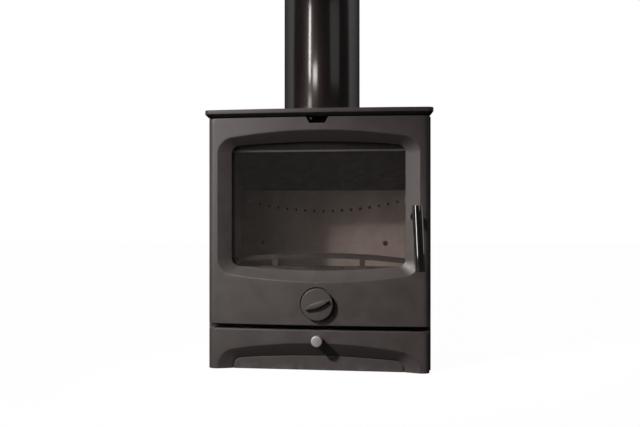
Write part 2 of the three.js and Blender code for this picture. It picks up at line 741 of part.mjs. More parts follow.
function rearShield() {
  const y0 = BACK_OUT_Y + SHIELD_STANDOFF;
  const y1 = y0 + SHIELD_SHEET;
  const tray = cut(
    box(-SHIELD_HALF, SHIELD_HALF, y0 - SHIELD_FLANGE, y1, SHIELD_BOTTOM, SHIELD_TOP),
    box(
      SHIELD_SHEET - SHIELD_HALF, SHIELD_HALF - SHIELD_SHEET,
      y0 - SHIELD_FLANGE - 1, y0,
      SHIELD_BOTTOM - 1, SHIELD_TOP + 1,
    ),
  );
  const rows = [0.3, 0.7].map((share) => SHIELD_BOTTOM + share * (SHIELD_TOP - SHIELD_BOTTOM));
  const vents = rows.flatMap((z) => Array.from({ length: VENTS }, (_, i) => {
    const x = (i - (VENTS - 1) / 2) * VENT_PITCH;
    return box(
      x - VENT_WIDTH / 2, x + VENT_WIDTH / 2, y0 - 1, y1 + 1,
      z - VENT_HEIGHT / 2, z + VENT_HEIGHT / 2,
    );
  }));
  const holes = shieldStuds.map(([x, z]) => rodY(HOLE_RADIUS, y0 - 1, y1 + 1, x, z, SCREW_ROUND));
  add('rear_heat_shield', cut(tray, ...vents, ...holes), 'plate');

  const inner = SHIELD_STANDOFF - 2 * SEAT; // shoulder between panel and shield
  const stud = revolve([
    [0, -inner - SHIELD_SHEET - 2 * SEAT - WALL / 2],
    [SHANK_RADIUS, -inner - SHIELD_SHEET - 2 * SEAT - WALL / 2],
    [SHANK_RADIUS, -inner - SHIELD_SHEET - 2 * SEAT],
    [STUD_SHOULDER, -inner - SHIELD_SHEET - 2 * SEAT],
    [STUD_SHOULDER, -SHIELD_SHEET - 2 * SEAT],
    [SHANK_RADIUS, -SHIELD_SHEET - 2 * SEAT],
    [SHANK_RADIUS, 0],
    [HEAD_RADIUS, 0],
    [HEAD_RADIUS, HEAD_HEIGHT * 0.5],
    [HEAD_RADIUS * 0.6, HEAD_HEIGHT],
    [0, HEAD_HEIGHT],
  ], SCREW_ROUND);
  shieldStuds.forEach(([x, z], i) => addScrew(
    `shield_stud_${i + 1}`, stud, [x, y1 + SEAT, z], 'back',
  ));
}

const rodEndY = INLET_Y - INLET_DEPTH / 2 - SHUTTER_LAP - SEAT;
const guideY = FRAME_Y + GUIDE_DEPTH;

function basePlate() {
  const right = [...flareLine(WALL + SEAT), new THREE.Vector2(CHAMBER_HALF - SEAT, bodyBackY)];
  const left = right.map((point) => new THREE.Vector2(-point.x, point.y)).reverse();
  const guide = box(
    -GUIDE_WIDTH / 2, GUIDE_WIDTH / 2, guideY, guideY + GUIDE_THICKNESS,
    KNOB_HEIGHT - GUIDE_WIDTH / 2, BASE_Z + 1,
  );
  add('base_plate', cut(
    join(prism([...right, ...left], BASE_Z, BASE_TOP), guide),
    box(
      -INLET_WIDTH / 2, INLET_WIDTH / 2, INLET_Y - INLET_DEPTH / 2, INLET_Y + INLET_DEPTH / 2,
      BASE_Z - 1, BASE_TOP + 1,
    ),
    rodY(ROD_RADIUS + RUNNING, guideY - 1, guideY + GUIDE_THICKNESS + 1, 0, KNOB_HEIGHT, 16),
  ), 'iron');
}

// air slots shared by the frame's shelf and the slider above it
function airSlots(middle, z0, z1) {
  const y = FRAME_BACK_Y + (SHELF_DEPTH - FRAME_THICKNESS) / 2;
  return Array.from({ length: AIR_SLOTS }, (_, i) => {
    const x = middle + (i - (AIR_SLOTS - 1) / 2) * AIR_SLOT_PITCH;
    return box(
      x - AIR_SLOT_WIDTH / 2, x + AIR_SLOT_WIDTH / 2,
      y - AIR_SLOT_DEPTH / 2, y + AIR_SLOT_DEPTH / 2, z0, z1,
    );
  });
}

const notchTopZ = HANDLE_Z + TONGUE_REACH + SWEEP;

function frontFrame() {
  const ring = cut(
    box(-FRAME_HALF, FRAME_HALF, FRAME_Y, FRAME_BACK_Y, FRAME_BOTTOM_Z, FRAME_TOP_Z),
    box(
      -OPENING_HALF, OPENING_HALF, FRAME_Y - 1, FRAME_BACK_Y + 1, OPENING_BOTTOM, OPENING_TOP,
    ),
  );
  const shelf = box(
    -FRAME_HALF, FRAME_HALF, FRAME_Y, FRAME_Y + SHELF_DEPTH,
    FRAME_TOP_Z - SHELF_THICKNESS, FRAME_TOP_Z,
  );
  const ends = [-1, 1].map((side) => {
    const x = [side * FRAME_HALF, side * (FRAME_HALF - FRAME_END)];
    return box(
      Math.min(...x), Math.max(...x), FRAME_Y, FRAME_Y + SHELF_DEPTH,
      FRAME_TOP_Z - 1, PLATE_UNDER - SEAT,
    );
  });
  add('front_frame', cut(
    join(ring, shelf, ...ends),
    ...airSlots(0, FRAME_TOP_Z - SHELF_THICKNESS - 1, FRAME_TOP_Z + 1),
    box( // room for the latch tongue
      OPENING_HALF - 1, HANDLE_X + SPINDLE_BOSS + SWEEP / 2, FRAME_Y - 1, FRAME_BACK_Y + 1,
      HANDLE_Z - SPINDLE_BOSS - SWEEP, notchTopZ,
    ),
  ), 'iron');
}

function latchKeeper() {
  const y = FRAME_BACK_Y + SEAT;
  const x0 = HANDLE_X + SPINDLE_BOSS - KEEPER_WIDTH;
  add('latch_keeper', box(
    x0, x0 + KEEPER_WIDTH, y, y + KEEPER_THICKNESS, notchTopZ, notchTopZ + KEEPER_HEIGHT,
  ), 'steel');
}

// ---------------------------------------------------------------- top plate and flue

const spigotScrews = [90, 210, 330].map((angle) => [
  (PIPE_RADIUS + SPIGOT_FLANGE / 2) * Math.cos(degrees(angle)),
  FLUE_Y + (PIPE_RADIUS + SPIGOT_FLANGE / 2) * Math.sin(degrees(angle)),
]);
const SPIGOT_RADIUS = PIPE_RADIUS - PIPE_WALL - SEAT;

function topPlate() {
  const half = BODY_HALF + PLATE_SIDE_OVERHANG;
  const ring = (z, inset) => bowedPlan(
    half - inset, PLATE_CORNER - inset, PLATE_FRONT_Y + inset, PLATE_BACK_Y - inset,
    PLATE_BACK_CORNER - inset,
  ).map((point) => new THREE.Vector3(point.x, point.y, z));
  const plate = loft([
    ring(PLATE_UNDER, PLATE_CHAMFER),
    ring(PLATE_UNDER + PLATE_CHAMFER, 0),
    ring(PLATE_TOP - PLATE_EASING, 0),
    ring(PLATE_TOP, PLATE_EASING),
  ], planView);
  const depth = PLATE_TOP - PLATE_UNDER;
  add('top_plate', cut(
    plate,
    rodZ(SPIGOT_RADIUS - SPIGOT_WALL, PLATE_UNDER - 1, PLATE_TOP + 1, 0, FLUE_Y, FINE_ROUND),
    ...spigotScrews.map(([x, y]) =>
      rodZ(HOLE_RADIUS, PLATE_TOP - depth / 2, PLATE_TOP + 1, x, y, SCREW_ROUND)),
  ), 'paint');
}

function flue() {
  const inner = SPIGOT_RADIUS - SPIGOT_WALL;
  const outer = PIPE_RADIUS + SPIGOT_FLANGE;
  const flangeTop = SPIGOT_FLANGE_THICKNESS;
  const spigot = revolve([
    [inner, 0],
    [outer, 0],
    [outer, flangeTop - 1],
    [outer - 1, flangeTop],
    [SPIGOT_RADIUS, flangeTop],
    [SPIGOT_RADIUS, SPIGOT_HEIGHT],
    [inner, SPIGOT_HEIGHT],
    [inner, 0],
  ], FINE_ROUND).translate([0, FLUE_Y, PLATE_TOP + SEAT]);
  const top = PLATE_TOP + SEAT + flangeTop;
  add('flue_spigot', cut(
    spigot,
    ...spigotScrews.map(([x, y]) => rodZ(HOLE_RADIUS, PLATE_TOP, top + 1, x, y, SCREW_ROUND)),
  ), 'iron');
  spigotScrews.forEach(([x, y], i) => addScrew(
    `spigot_screw_${i + 1}`, screwSolid(), [x, y, top + SEAT], 'up',
  ));

  const bore = PIPE_RADIUS - PIPE_WALL;
  add('flue_pipe', revolve([
    [bore, PIPE_BOTTOM],
    [PIPE_RADIUS, PIPE_BOTTOM],
    [PIPE_RADIUS, PIPE_BOTTOM + PIPE_LENGTH],
    [bore, PIPE_BOTTOM + PIPE_LENGTH],
    [bore, PIPE_BOTTOM],
  ], FINE_ROUND).translate([0, FLUE_Y, 0]), 'pipe');
}

// ---------------------------------------------------------------- plinth

function plinthFront() {
  const backY = FRAME_Y - SEAT;
  const shell = cut(
    prism(bowedPlan(DOOR_HALF, DOOR_EDGE_RADIUS, FACE_Y, backY), 0, PLINTH_HEIGHT),
    box(
      PLINTH_WALL - DOOR_HALF, DOOR_HALF - PLINTH_WALL,
      FACE_Y + PLINTH_BACK_POCKET, backY + 1, -1, PLINTH_HEIGHT - PLINTH_TOP_WALL,
    ),
  );
  const open = (outline, half) => [
    new THREE.Vector2(half, -1), ...outline, new THREE.Vector2(-half, -1),
  ];
  const outerHalf = DOOR_HALF - ARCH_SIDE;
  const innerHalf = outerHalf - ARCH_CHAMFER_SIDE;
  const outer = archedTop(outerHalf, ARCH_RISE, ARCH_DROP, ARCH_CORNER);
  const inner = archedTop(
    innerHalf, ARCH_RISE - ARCH_CHAMFER_TOP, ARCH_INNER_DROP, ARCH_INNER_CORNER,
  );
  const floorY = FACE_Y + ARCH_DEPTH;
  const recess = loft([
    open(outer, outerHalf).map(atDepth(PLATE_FRONT_Y)),
    open(outer, outerHalf).map((point) => onFace(point, 0.05)),
    open(inner, innerHalf).map(atDepth(floorY)),
  ], frontView);
  add('plinth_front', cut(
    shell,
    recess,
    rodY(ROD_RADIUS + RUNNING, PLATE_FRONT_Y, FRAME_Y, 0, KNOB_HEIGHT, 24),
  ), 'paint');
}

// ---------------------------------------------------------------- air control below the door

function airControl() {
  const knobBack = FACE_Y - KNOB_STANDOFF;
  const knob = revolve([
    [0, 0],
    [KNOB_RADIUS - KNOB_EASING, 0],
    [KNOB_RADIUS, KNOB_EASING],
    [KNOB_RADIUS, KNOB_LENGTH - KNOB_EASING],
    [KNOB_RADIUS - KNOB_EASING, KNOB_LENGTH],
    [0, KNOB_LENGTH],
  ]).subtract(rodZ(ROD_RADIUS + SEAT, -1, ROD_SOCKET + SEAT, 0, 0, 16));
  add('control_knob', knob, 'satin', frontGroup(0, knobBack, KNOB_HEIGHT));
  add('control_rod', rodY(ROD_RADIUS, knobBack - ROD_SOCKET, rodEndY, 0, KNOB_HEIGHT, 16), 'steel');

  const top = BASE_Z - SEAT;
  const y0 = INLET_Y - INLET_DEPTH / 2 - SHUTTER_LAP;
  const y1 = INLET_Y + INLET_DEPTH / 2 + SHUTTER_LAP;
  const half = SHUTTER_TAB / 2;
  add('control_shutter', join(
    box(-SHUTTER_WIDTH / 2, SHUTTER_WIDTH / 2, y0, y1, top - SHUTTER_THICKNESS, top),
    box(-half, half, y0, y0 + SHUTTER_THICKNESS, KNOB_HEIGHT - half, top - 1),
  ), 'steel');
}

// ---------------------------------------------------------------- firebox

function grate() {
  const half = CHAMBER_HALF - SEAT;
  const slotY = (FRAME_BACK_Y + LINER_Y) / 2;
  const slots = Array.from({ length: GRATE_SLOTS }, (_, i) => {
    const x = (i - (GRATE_SLOTS - 1) / 2) * GRATE_PITCH;
    return box(
      x - GRATE_SLOT / 2, x + GRATE_SLOT / 2,
      slotY - GRATE_SLOT_LENGTH / 2, slotY + GRATE_SLOT_LENGTH / 2,
      GRATE_BOTTOM - 1, GRATE_TOP + 1,
    );
  });
  // the front corners follow the side panels where these draw in
  const right = [
    new THREE.Vector2(flareLine(WALL + SEAT)[1].x, FRAME_BACK_Y + SEAT),
    ...flareLine(WALL + SEAT).slice(2),
    new THREE.Vector2(half, LINER_BACK_Y),
  ];
  const left = right.map((point) => new THREE.Vector2(-point.x, point.y)).reverse();
  add('grate', cut(prism([...right, ...left], GRATE_BOTTOM, GRATE_TOP), ...slots), 'iron');
}

// underside of the folded baffle: flat over the back liner, rising towards the front
const baffleSeat = LINER_TOP + SEAT;
const baffleSlope = (BAFFLE_FRONT_Z - baffleSeat) / (LINER_Y - BAFFLE_FRONT_Y);
const baffleUnder = (y) => baffleSeat + baffleSlope * Math.max(0, LINER_Y - y);

function sideBricks() {
  const y0 = FRAME_Y + FLARE_DEPTH;
  const bottom = GRATE_TOP + SEAT;
  const outline = [
    new THREE.Vector2(y0, bottom),
    new THREE.Vector2(LINER_BACK_Y, bottom),
    new THREE.Vector2(LINER_BACK_Y, baffleSeat - SEAT),
    new THREE.Vector2(LINER_Y, baffleSeat - SEAT),
    new THREE.Vector2(y0, baffleUnder(y0) - SEAT),
  ];
  add('right_firebrick', sideways(outline, BRICK_FACE, BRICK_FACE + BRICK), 'liner');
  add('left_firebrick', sideways(outline, -BRICK_FACE - BRICK, -BRICK_FACE), 'liner');
}

const holeHeight = (x) =>
  GRATE_TOP + AIR_HOLE_HEIGHT + AIR_HOLE_SMILE * (x / AIR_ROW_HALF) ** 2;

function backLiner() {
  const holes = Array.from({ length: AIR_HOLES }, (_, i) => {
    const x = AIR_ROW_HALF * ((2 * i) / (AIR_HOLES - 1) - 1);
    return rodY(AIR_HOLE_RADIUS, LINER_Y - 1, LINER_BACK_Y + 1, x, holeHeight(x), 8);
  });
  const screwZ = GRATE_TOP + LINER_SCREW_HEIGHT;
  const linerScrewX = LINER_HALF - LINER_SCREW_INSET;
  const sockets = [-1, 1].map((side) => rodY(
    HOLE_RADIUS, LINER_Y - 1, LINER_Y + LINER / 2, side * linerScrewX, screwZ, SCREW_ROUND,
  ));
  add('back_liner', cut(
    box(-LINER_HALF, LINER_HALF, LINER_Y, LINER_BACK_Y, GRATE_TOP + SEAT, LINER_TOP),
    ...holes,
    ...sockets,
  ), 'liner');
  [['left', -1], ['right', 1]].forEach(([side, sign]) => addScrew(
    `${side}_liner_screw`, screwSolid(), [sign * linerScrewX, LINER_Y - SEAT, screwZ], 'front',
  ));
}

function rearAirBox() {
  const half = BODY_HALF - AIR_BOX_SIDE;
  const top = LINER_TOP - AIR_BOX_OVERLAP;
  add('rear_air_box', cut(
    box(-half, half, AIR_BOX_Y, BACK_IN_Y - SEAT, BASE_TOP + SEAT, top),
    box(
      AIR_BOX_SHEET - half, half - AIR_BOX_SHEET, AIR_BOX_Y - 1,
      BACK_IN_Y - SEAT - AIR_BOX_SHEET, BASE_TOP - 1, top - AIR_BOX_SHEET,
    ),
  ), 'plate');
}

function baffle() {
  const half = CHAMBER_HALF - SEAT;
  const backY = BACK_IN_Y - SEAT;
  const rise = BAFFLE_THICKNESS * Math.hypot(1, baffleSlope); // thickness up the slope
  const foldY = LINER_Y + (rise - BAFFLE_THICKNESS) / baffleSlope;
  const outline = [
    new THREE.Vector2(BAFFLE_FRONT_Y, BAFFLE_FRONT_Z),
    new THREE.Vector2(LINER_Y, baffleSeat),
    new THREE.Vector2(backY, baffleSeat),
    new THREE.Vector2(backY, baffleSeat + BAFFLE_THICKNESS),
    new THREE.Vector2(foldY, baffleSeat + BAFFLE_THICKNESS),
    new THREE.Vector2(BAFFLE_FRONT_Y, BAFFLE_FRONT_Z + rise),
  ];
  add('baffle_plate', sideways(outline, -half, half), 'iron');
}

function airwashDeflector() {
  const y0 = FRAME_BACK_Y + DEFLECTOR_SETBACK;
  const y1 = y0 + DEFLECTOR_SHEET;
  const top = FRAME_TOP_Z - SHELF_THICKNESS - SEAT;
  const lip = WINDOW_TOP - DEFLECTOR_COVER;
  const outline = [
    new THREE.Vector2(y1, top),
    new THREE.Vector2(y0, top),
    new THREE.Vector2(y0, lip + DEFLECTOR_SHEET),
    new THREE.Vector2(y1 - DEFLECTOR_LIP, lip + DEFLECTOR_SHEET),
    new THREE.Vector2(y1 - DEFLECTOR_LIP, lip),
    new THREE.Vector2(y1, lip),
  ];
  add('airwash_deflector', sideways(outline, -OPENING_HALF + SEAT, OPENING_HALF - SEAT), 'steel');
}

function logGuard() {
  const y0 = FRAME_BACK_Y + GUARD_SETBACK;
  const half = BRICK_FACE - GUARD_INSET;
  const foot = GRATE_TOP + SEAT;
  const crown = (x, below) => foot + GUARD_HEIGHT - below - GUARD_ARCH * (x / half) ** 2;
  const span = (x0, x1, below) => Array.from({ length: 7 }, (_, i) => {
    const x = x0 + ((x1 - x0) * i) / 6;
    return new THREE.Vector2(x, crown(x, below));
  });
  const body = upright([
    new THREE.Vector2(-half, foot),
    new THREE.Vector2(half, foot),
    ...span(half, -half, 0),
  ], y0, y0 + GUARD_THICKNESS);
  const slot = (x0, x1) => upright([
    new THREE.Vector2(x0, foot + GUARD_FOOT),
    new THREE.Vector2(x1, foot + GUARD_FOOT),
    ...span(x1, x0, GUARD_BAR),
  ], y0 - 1, y0 + GUARD_THICKNESS + 1);
  const post = GUARD_BAR / 2;
  const outer = half - GUARD_BAR;
  add('log_guard', cut(
    body,
    slot(post - GUARD_POST_X, GUARD_POST_X - post),
    slot(GUARD_POST_X + post, outer),
    slot(-outer, -GUARD_POST_X - post),
  ), 'iron');
}

function ashPan() {
  const half = PAN_WIDTH / 2;
  const y0 = FRAME_BACK_Y + PAN_SETBACK;
  const z0 = BASE_TOP + SEAT;
  const tray = cut(
    box(-half, half, y0, y0 + PAN_DEPTH, z0, z0 + PAN_HEIGHT),
    box(
      PAN_SHEET - half, half - PAN_SHEET, y0 + PAN_SHEET, y0 + PAN_DEPTH - PAN_SHEET,
      z0 + PAN_SHEET, z0 + PAN_HEIGHT + 1,
    ),
  );
  const grip = box(
    -PAN_GRIP_WIDTH / 2, PAN_GRIP_WIDTH / 2, y0 - PAN_GRIP_REACH, y0 + PAN_SHEET / 2,
    z0 + PAN_HEIGHT - PAN_SHEET, z0 + PAN_HEIGHT,
  );
  add('ash_pan', join(tray, grip), 'plate');
}

// ---------------------------------------------------------------- door

const windowOpening = {
  half: WINDOW_HALF,
  top: WINDOW_TOP,
  topDrop: WINDOW_TOP_ARCH,
  bottom: WINDOW_BOTTOM,
  bottomDrop: WINDOW_BOTTOM_ARCH,
  corner: WINDOW_CORNER,
};
const windowRecess = {
  half: WINDOW_HALF + RECESS_SIDE,
  top: WINDOW_TOP + RECESS_TOP,
  topDrop: RECESS_TOP_ARCH,
  bottom: WINDOW_BOTTOM - RECESS_BOTTOM,
  bottomDrop: RECESS_BOTTOM_ARCH,
  corner: RECESS_CORNER,
};
const GLASS_HALF = WINDOW_HALF + GLASS_LAP;
const GLASS_BOTTOM = WINDOW_BOTTOM - GLASS_LAP;
const GLASS_TOP = WINDOW_TOP + GLASS_LAP;

// glass clips, two along the top and two along the bottom edge of the pane
const clipPlaces = [-1, 1].flatMap((side) => [
  { name: side < 0 ? 'left' : 'right', x: (side * CLIP_SPACING) / 2, edge: GLASS_TOP, out: 1 },
  { name: side < 0 ? 'left' : 'right', x: (side * CLIP_SPACING) / 2, edge: GLASS_BOTTOM, out: -1 },
]);
const clipScrewZ = ({ edge, out }) => edge + out * (SEAT + CLIP_FOOT / 2);

const ropeHalf = DOOR_HALF - ROPE_SIDE_INSET;
const ropeBottom = DOOR_BOTTOM + ROPE_BOTTOM_INSET;
const ropeTop = DOOR_TOP - NOTCH_DEPTH - 1 - ROPE_WIDTH / 2;

const hingeEnds = [
  { name: 'lower', end: DOOR_BOTTOM, inward: 1 },
  { name: 'upper', end: DOOR_TOP, inward: -1 },
];

function between(a, b) {
  return [Math.min(a, b), Math.max(a, b)];
}

function portCutters(tilt, y0, y1) {
  return Array.from({ length: VALVE_PORTS }, (_, i) => {
    const angle = degrees(tilt + (360 * i) / VALVE_PORTS);
    return rodY(
      VALVE_PORT_RADIUS, y0, y1,
      VALVE_PORT_CIRCLE * Math.cos(angle), DIAL_Z + VALVE_PORT_CIRCLE * Math.sin(angle), 16,
    );
  });
}

function door() {
  const eased = (z, inset) => bowedPlan(
    DOOR_HALF - inset, DOOR_EDGE_RADIUS - inset, FACE_Y + inset, DOOR_BACK_Y,
  ).map((point) => new THREE.Vector3(point.x, point.y, z));
  const block = loft([
    eased(DOOR_BOTTOM, DOOR_EASING),
    eased(DOOR_BOTTOM + DOOR_EASING, 0),
    eased(DOOR_TOP - DOOR_EASING, 0),
    eased(DOOR_TOP, DOOR_EASING),
  ], planView);

  const pocketHalf = DOOR_HALF - DOOR_RIM;
  const backPocket = cut(
    box(
      -pocketHalf, pocketHalf, GLASS_LEDGE_Y, DOOR_BACK_Y + 1,
      DOOR_BOTTOM + DOOR_RIM, DOOR_TOP - DOOR_RIM,
    ),
    rodY(SPINDLE_BOSS, GLASS_LEDGE_Y - 1, DOOR_BACK_Y + 2, HANDLE_X, HANDLE_Z),
  );
  const dialPocket = rodY(
    DIAL_RADIUS + DIAL_ROOM, PLATE_FRONT_Y, FACE_Y + DIAL_POCKET_DEPTH, 0, DIAL_Z, FINE_ROUND,
  );
  const valveRoom = VALVE_RADIUS + VALVE_ROOM;
  const valvePocket = rodY(valveRoom, FACE_Y + VALVE_WALL, DOOR_BACK_Y + 1, 0, DIAL_Z);
  const notch = upright([
    new THREE.Vector2(-NOTCH_BOTTOM_WIDTH / 2, DOOR_TOP - NOTCH_DEPTH),
    new THREE.Vector2(NOTCH_BOTTOM_WIDTH / 2, DOOR_TOP - NOTCH_DEPTH),
    new THREE.Vector2(NOTCH_TOP_WIDTH / 2, DOOR_TOP + 1),
    new THREE.Vector2(-NOTCH_TOP_WIDTH / 2, DOOR_TOP + 1),
  ], PLATE_FRONT_Y, DOOR_BACK_Y + 1);
  const groove = ringBetween(
    ropeHalf, ropeBottom, ropeTop, ROPE_CORNER, ROPE_WIDTH + 2 * SEAT,
    DOOR_BACK_Y - ROPE_GROOVE - SEAT, DOOR_BACK_Y + 1,
  );
  const hingePockets = hingeEnds.map(({ end, inward }) => box(
    HINGE_X - KNUCKLE_RADIUS, HINGE_X + POCKET_WIDTH, DOOR_BACK_Y - POCKET_DEPTH, DOOR_BACK_Y + 1,
    ...between(end - inward, end + inward * HINGE_END),
  ));
  const knuckles = hingeEnds.map(({ end, inward }) => {
    const z = between(end + inward * HINGE_END, end + inward * (HINGE_END + KNUCKLE_LENGTH));
    return rodZ(KNUCKLE_RADIUS, z[0], z[1], HINGE_X, HINGE_Y, 24);
  });
  const hingeBores = hingeEnds.map(({ end, inward }) => rodZ(
    HINGE_PIN_RADIUS + RUNNING,
    ...between(end + inward * (HINGE_END - 1), end + inward * (HINGE_END + KNUCKLE_LENGTH + 1)),
    HINGE_X, HINGE_Y, 16,
  ));
  const clipHoles = clipPlaces.map((clip) => rodY(
    HOLE_RADIUS, GLASS_LEDGE_Y - SHANK_LENGTH / 2, DOOR_BACK_Y,
    clip.x, clipScrewZ(clip), SCREW_ROUND,
  ));

  add('door', cut(
    join(
      cut(
        block,
        recessCutter(
          archedOpening(windowRecess), archedOpening(windowOpening), RECESS_FLOOR_Y,
          DOOR_BACK_Y + 1,
        ),
        backPocket,
        dialPocket,
        valvePocket,
        notch,
        groove,
        ...hingePockets,
      ),
      ...knuckles,
    ),
    ...hingeBores,
    ...clipHoles,
    ...portCutters(DIAL_TILT, PLATE_FRONT_Y, FACE_Y + VALVE_WALL + 1),
    rodY(DIAL_SPINDLE_RADIUS + RUNNING, PLATE_FRONT_Y, DOOR_BACK_Y, 0, DIAL_Z, 16),
    rodY(SPINDLE_RADIUS + RUNNING, PLATE_FRONT_Y, FRAME_Y, HANDLE_X, HANDLE_Z, 24),
  ), 'paint');
}

function glazing() {
  add('door_glass', box(
    -GLASS_HALF, GLASS_HALF, GLASS_Y, GLASS_Y + GLASS_THICKNESS, GLASS_BOTTOM, GLASS_TOP,
  ), 'glass');
  const w = GLASS_SEAL_WIDTH / 2;
  add('glass_seal', ringBetween(
    GLASS_HALF - w, GLASS_BOTTOM + w, GLASS_TOP - w, w + 1, GLASS_SEAL_WIDTH,
    GLASS_LEDGE_Y + SEAT, GLASS_LEDGE_Y + SEAT + GLASS_SEAL_THICKNESS,
  ), 'rope');
  clipPlaces.forEach((clip) => {
    const { name, x, edge, out } = clip;
    const label = `${out > 0 ? 'upper' : 'lower'}_${name}`;
    const foot = between(edge + out * SEAT, edge + out * (SEAT + CLIP_FOOT));
    const reach = between(edge - out * CLIP_LAP, edge + out * (SEAT + CLIP_FOOT));
    const y1 = CLIP_Y + CLIP_THICKNESS;
    add(`${label}_glass_clip`, cut(
      join(
        box(x - CLIP_WIDTH / 2, x + CLIP_WIDTH / 2, GLASS_LEDGE_Y + SEAT, y1, ...foot),
        box(x - CLIP_WIDTH / 2, x + CLIP_WIDTH / 2, CLIP_Y, y1, ...reach),
      ),
      rodY(HOLE_RADIUS, GLASS_LEDGE_Y, y1 + 1, x, clipScrewZ(clip), SCREW_ROUND),
    ), 'steel');
    addScrew(
      `${label}_clip_screw`, screwSolid(y1 - GLASS_LEDGE_Y + SHANK_LENGTH / 3),
      [x, y1 + SEAT, clipScrewZ(clip)], 'back',
    );
  });
}

function doorRope() {
  add('door_rope_seal', ringBetween(
    ropeHalf, ropeBottom, ropeTop, ROPE_CORNER, ROPE_WIDTH,
    DOOR_BACK_Y - ROPE_GROOVE, FRAME_Y - SEAT,
  ), 'rope');
}

function hingeBrackets() {
  hingeEnds.forEach(({ name, end, inward }) => {
    const face = end + inward * (HINGE_END - SEAT);
    const boss = between(face, face - inward * BRACKET_HEIGHT);
    const pin = between(
      face - inward, end + inward * (HINGE_END + KNUCKLE_LENGTH - HINGE_PIN_SHORT),
    );
    add(`${name}_hinge_bracket`, join(
      rodZ(KNUCKLE_RADIUS, ...boss, HINGE_X, HINGE_Y, 24),
      box(
        HINGE_X - BRACKET_ARM / 2, HINGE_X + BRACKET_ARM / 2, HINGE_Y, FRAME_Y - SEAT, ...boss,
      ),
      rodZ(HINGE_PIN_RADIUS, ...pin, HINGE_X, HINGE_Y, 16),
    ), 'iron');
  });
}

// ---------------------------------------------------------------- door handle

function handle() {
  // the bar in its own upright frame: axis on +Z, spindle at the origin
  const barCentre = BAR_ABOVE - BAR_LENGTH / 2;
  const barSolid = (radius) => revolve([
    [0, barCentre - BAR_LENGTH / 2],
    [radius - BAR_EASING, barCentre - BAR_LENGTH / 2],
    [radius, barCentre - BAR_LENGTH / 2 + BAR_EASING],
    [radius, barCentre + BAR_LENGTH / 2 - BAR_EASING],
    [radius - BAR_EASING, barCentre + BAR_LENGTH / 2],
    [0, barCentre + BAR_LENGTH / 2],
  ]).translate([BAR_OFFSET, 0, 0]).rotate([0, -BAR_LEAN, 0])
    .translate([HANDLE_X, FACE_Y - BAR_STANDOFF, HANDLE_Z]);
  add('handle_bar', barSolid(BAR_RADIUS), 'chrome');

  const faceY = FACE_Y + bowDepth(HANDLE_X) - HUB_GAP - bowDepth(HUB_RADIUS);
  const tongueY = FRAME_Y + TONGUE_SETBACK;
  add('handle_spindle', cut(
    join(
      rodY(HUB_RADIUS, FACE_Y - BAR_STANDOFF, faceY - 1, HANDLE_X, HANDLE_Z),
      rodY(SPINDLE_RADIUS, faceY - 2, tongueY + TONGUE_THICKNESS, HANDLE_X, HANDLE_Z, 24),
    ),
    barSolid(BAR_RADIUS + SEAT),
  ), 'iron');

  const half = TONGUE_WIDTH / 2;
  add('latch_tongue', cut(
    join(
      rodY(SPINDLE_BOSS, tongueY, tongueY + TONGUE_THICKNESS, HANDLE_X, HANDLE_Z, 24),
      upright([
        new THREE.Vector2(HANDLE_X - half, HANDLE_Z),
        new THREE.Vector2(HANDLE_X + half, HANDLE_Z),
        new THREE.Vector2(HANDLE_X + half, HANDLE_Z + TONGUE_REACH - half),
        new THREE.Vector2(HANDLE_X, HANDLE_Z + TONGUE_REACH),
        new THREE.Vector2(HANDLE_X - half, HANDLE_Z + TONGUE_REACH - half),
      ], tongueY, tongueY + TONGUE_THICKNESS),
    ),
    rodY(
      SPINDLE_RADIUS + SEAT, tongueY - 1, tongueY + TONGUE_THICKNESS + 1,
      HANDLE_X, HANDLE_Z, 24,
    ),
  ), 'steel');
}

// ---------------------------------------------------------------- air dial on the door

// lens between two arcs, along +X
function lens(length, width, steps) {
  const radius = (length ** 2 + width ** 2) / (4 * width);
  const reach = THREE.MathUtils.radToDeg(Math.asin(length / 2 / radius));
  const upper = arc(0, width / 2 - radius, radius, 90 - reach, 90 + reach, steps);
  const lower = arc(0, radius - width / 2, radius, 270 - reach, 270 + reach, steps);
  return [...upper, ...lower.slice(1, -1)];
}

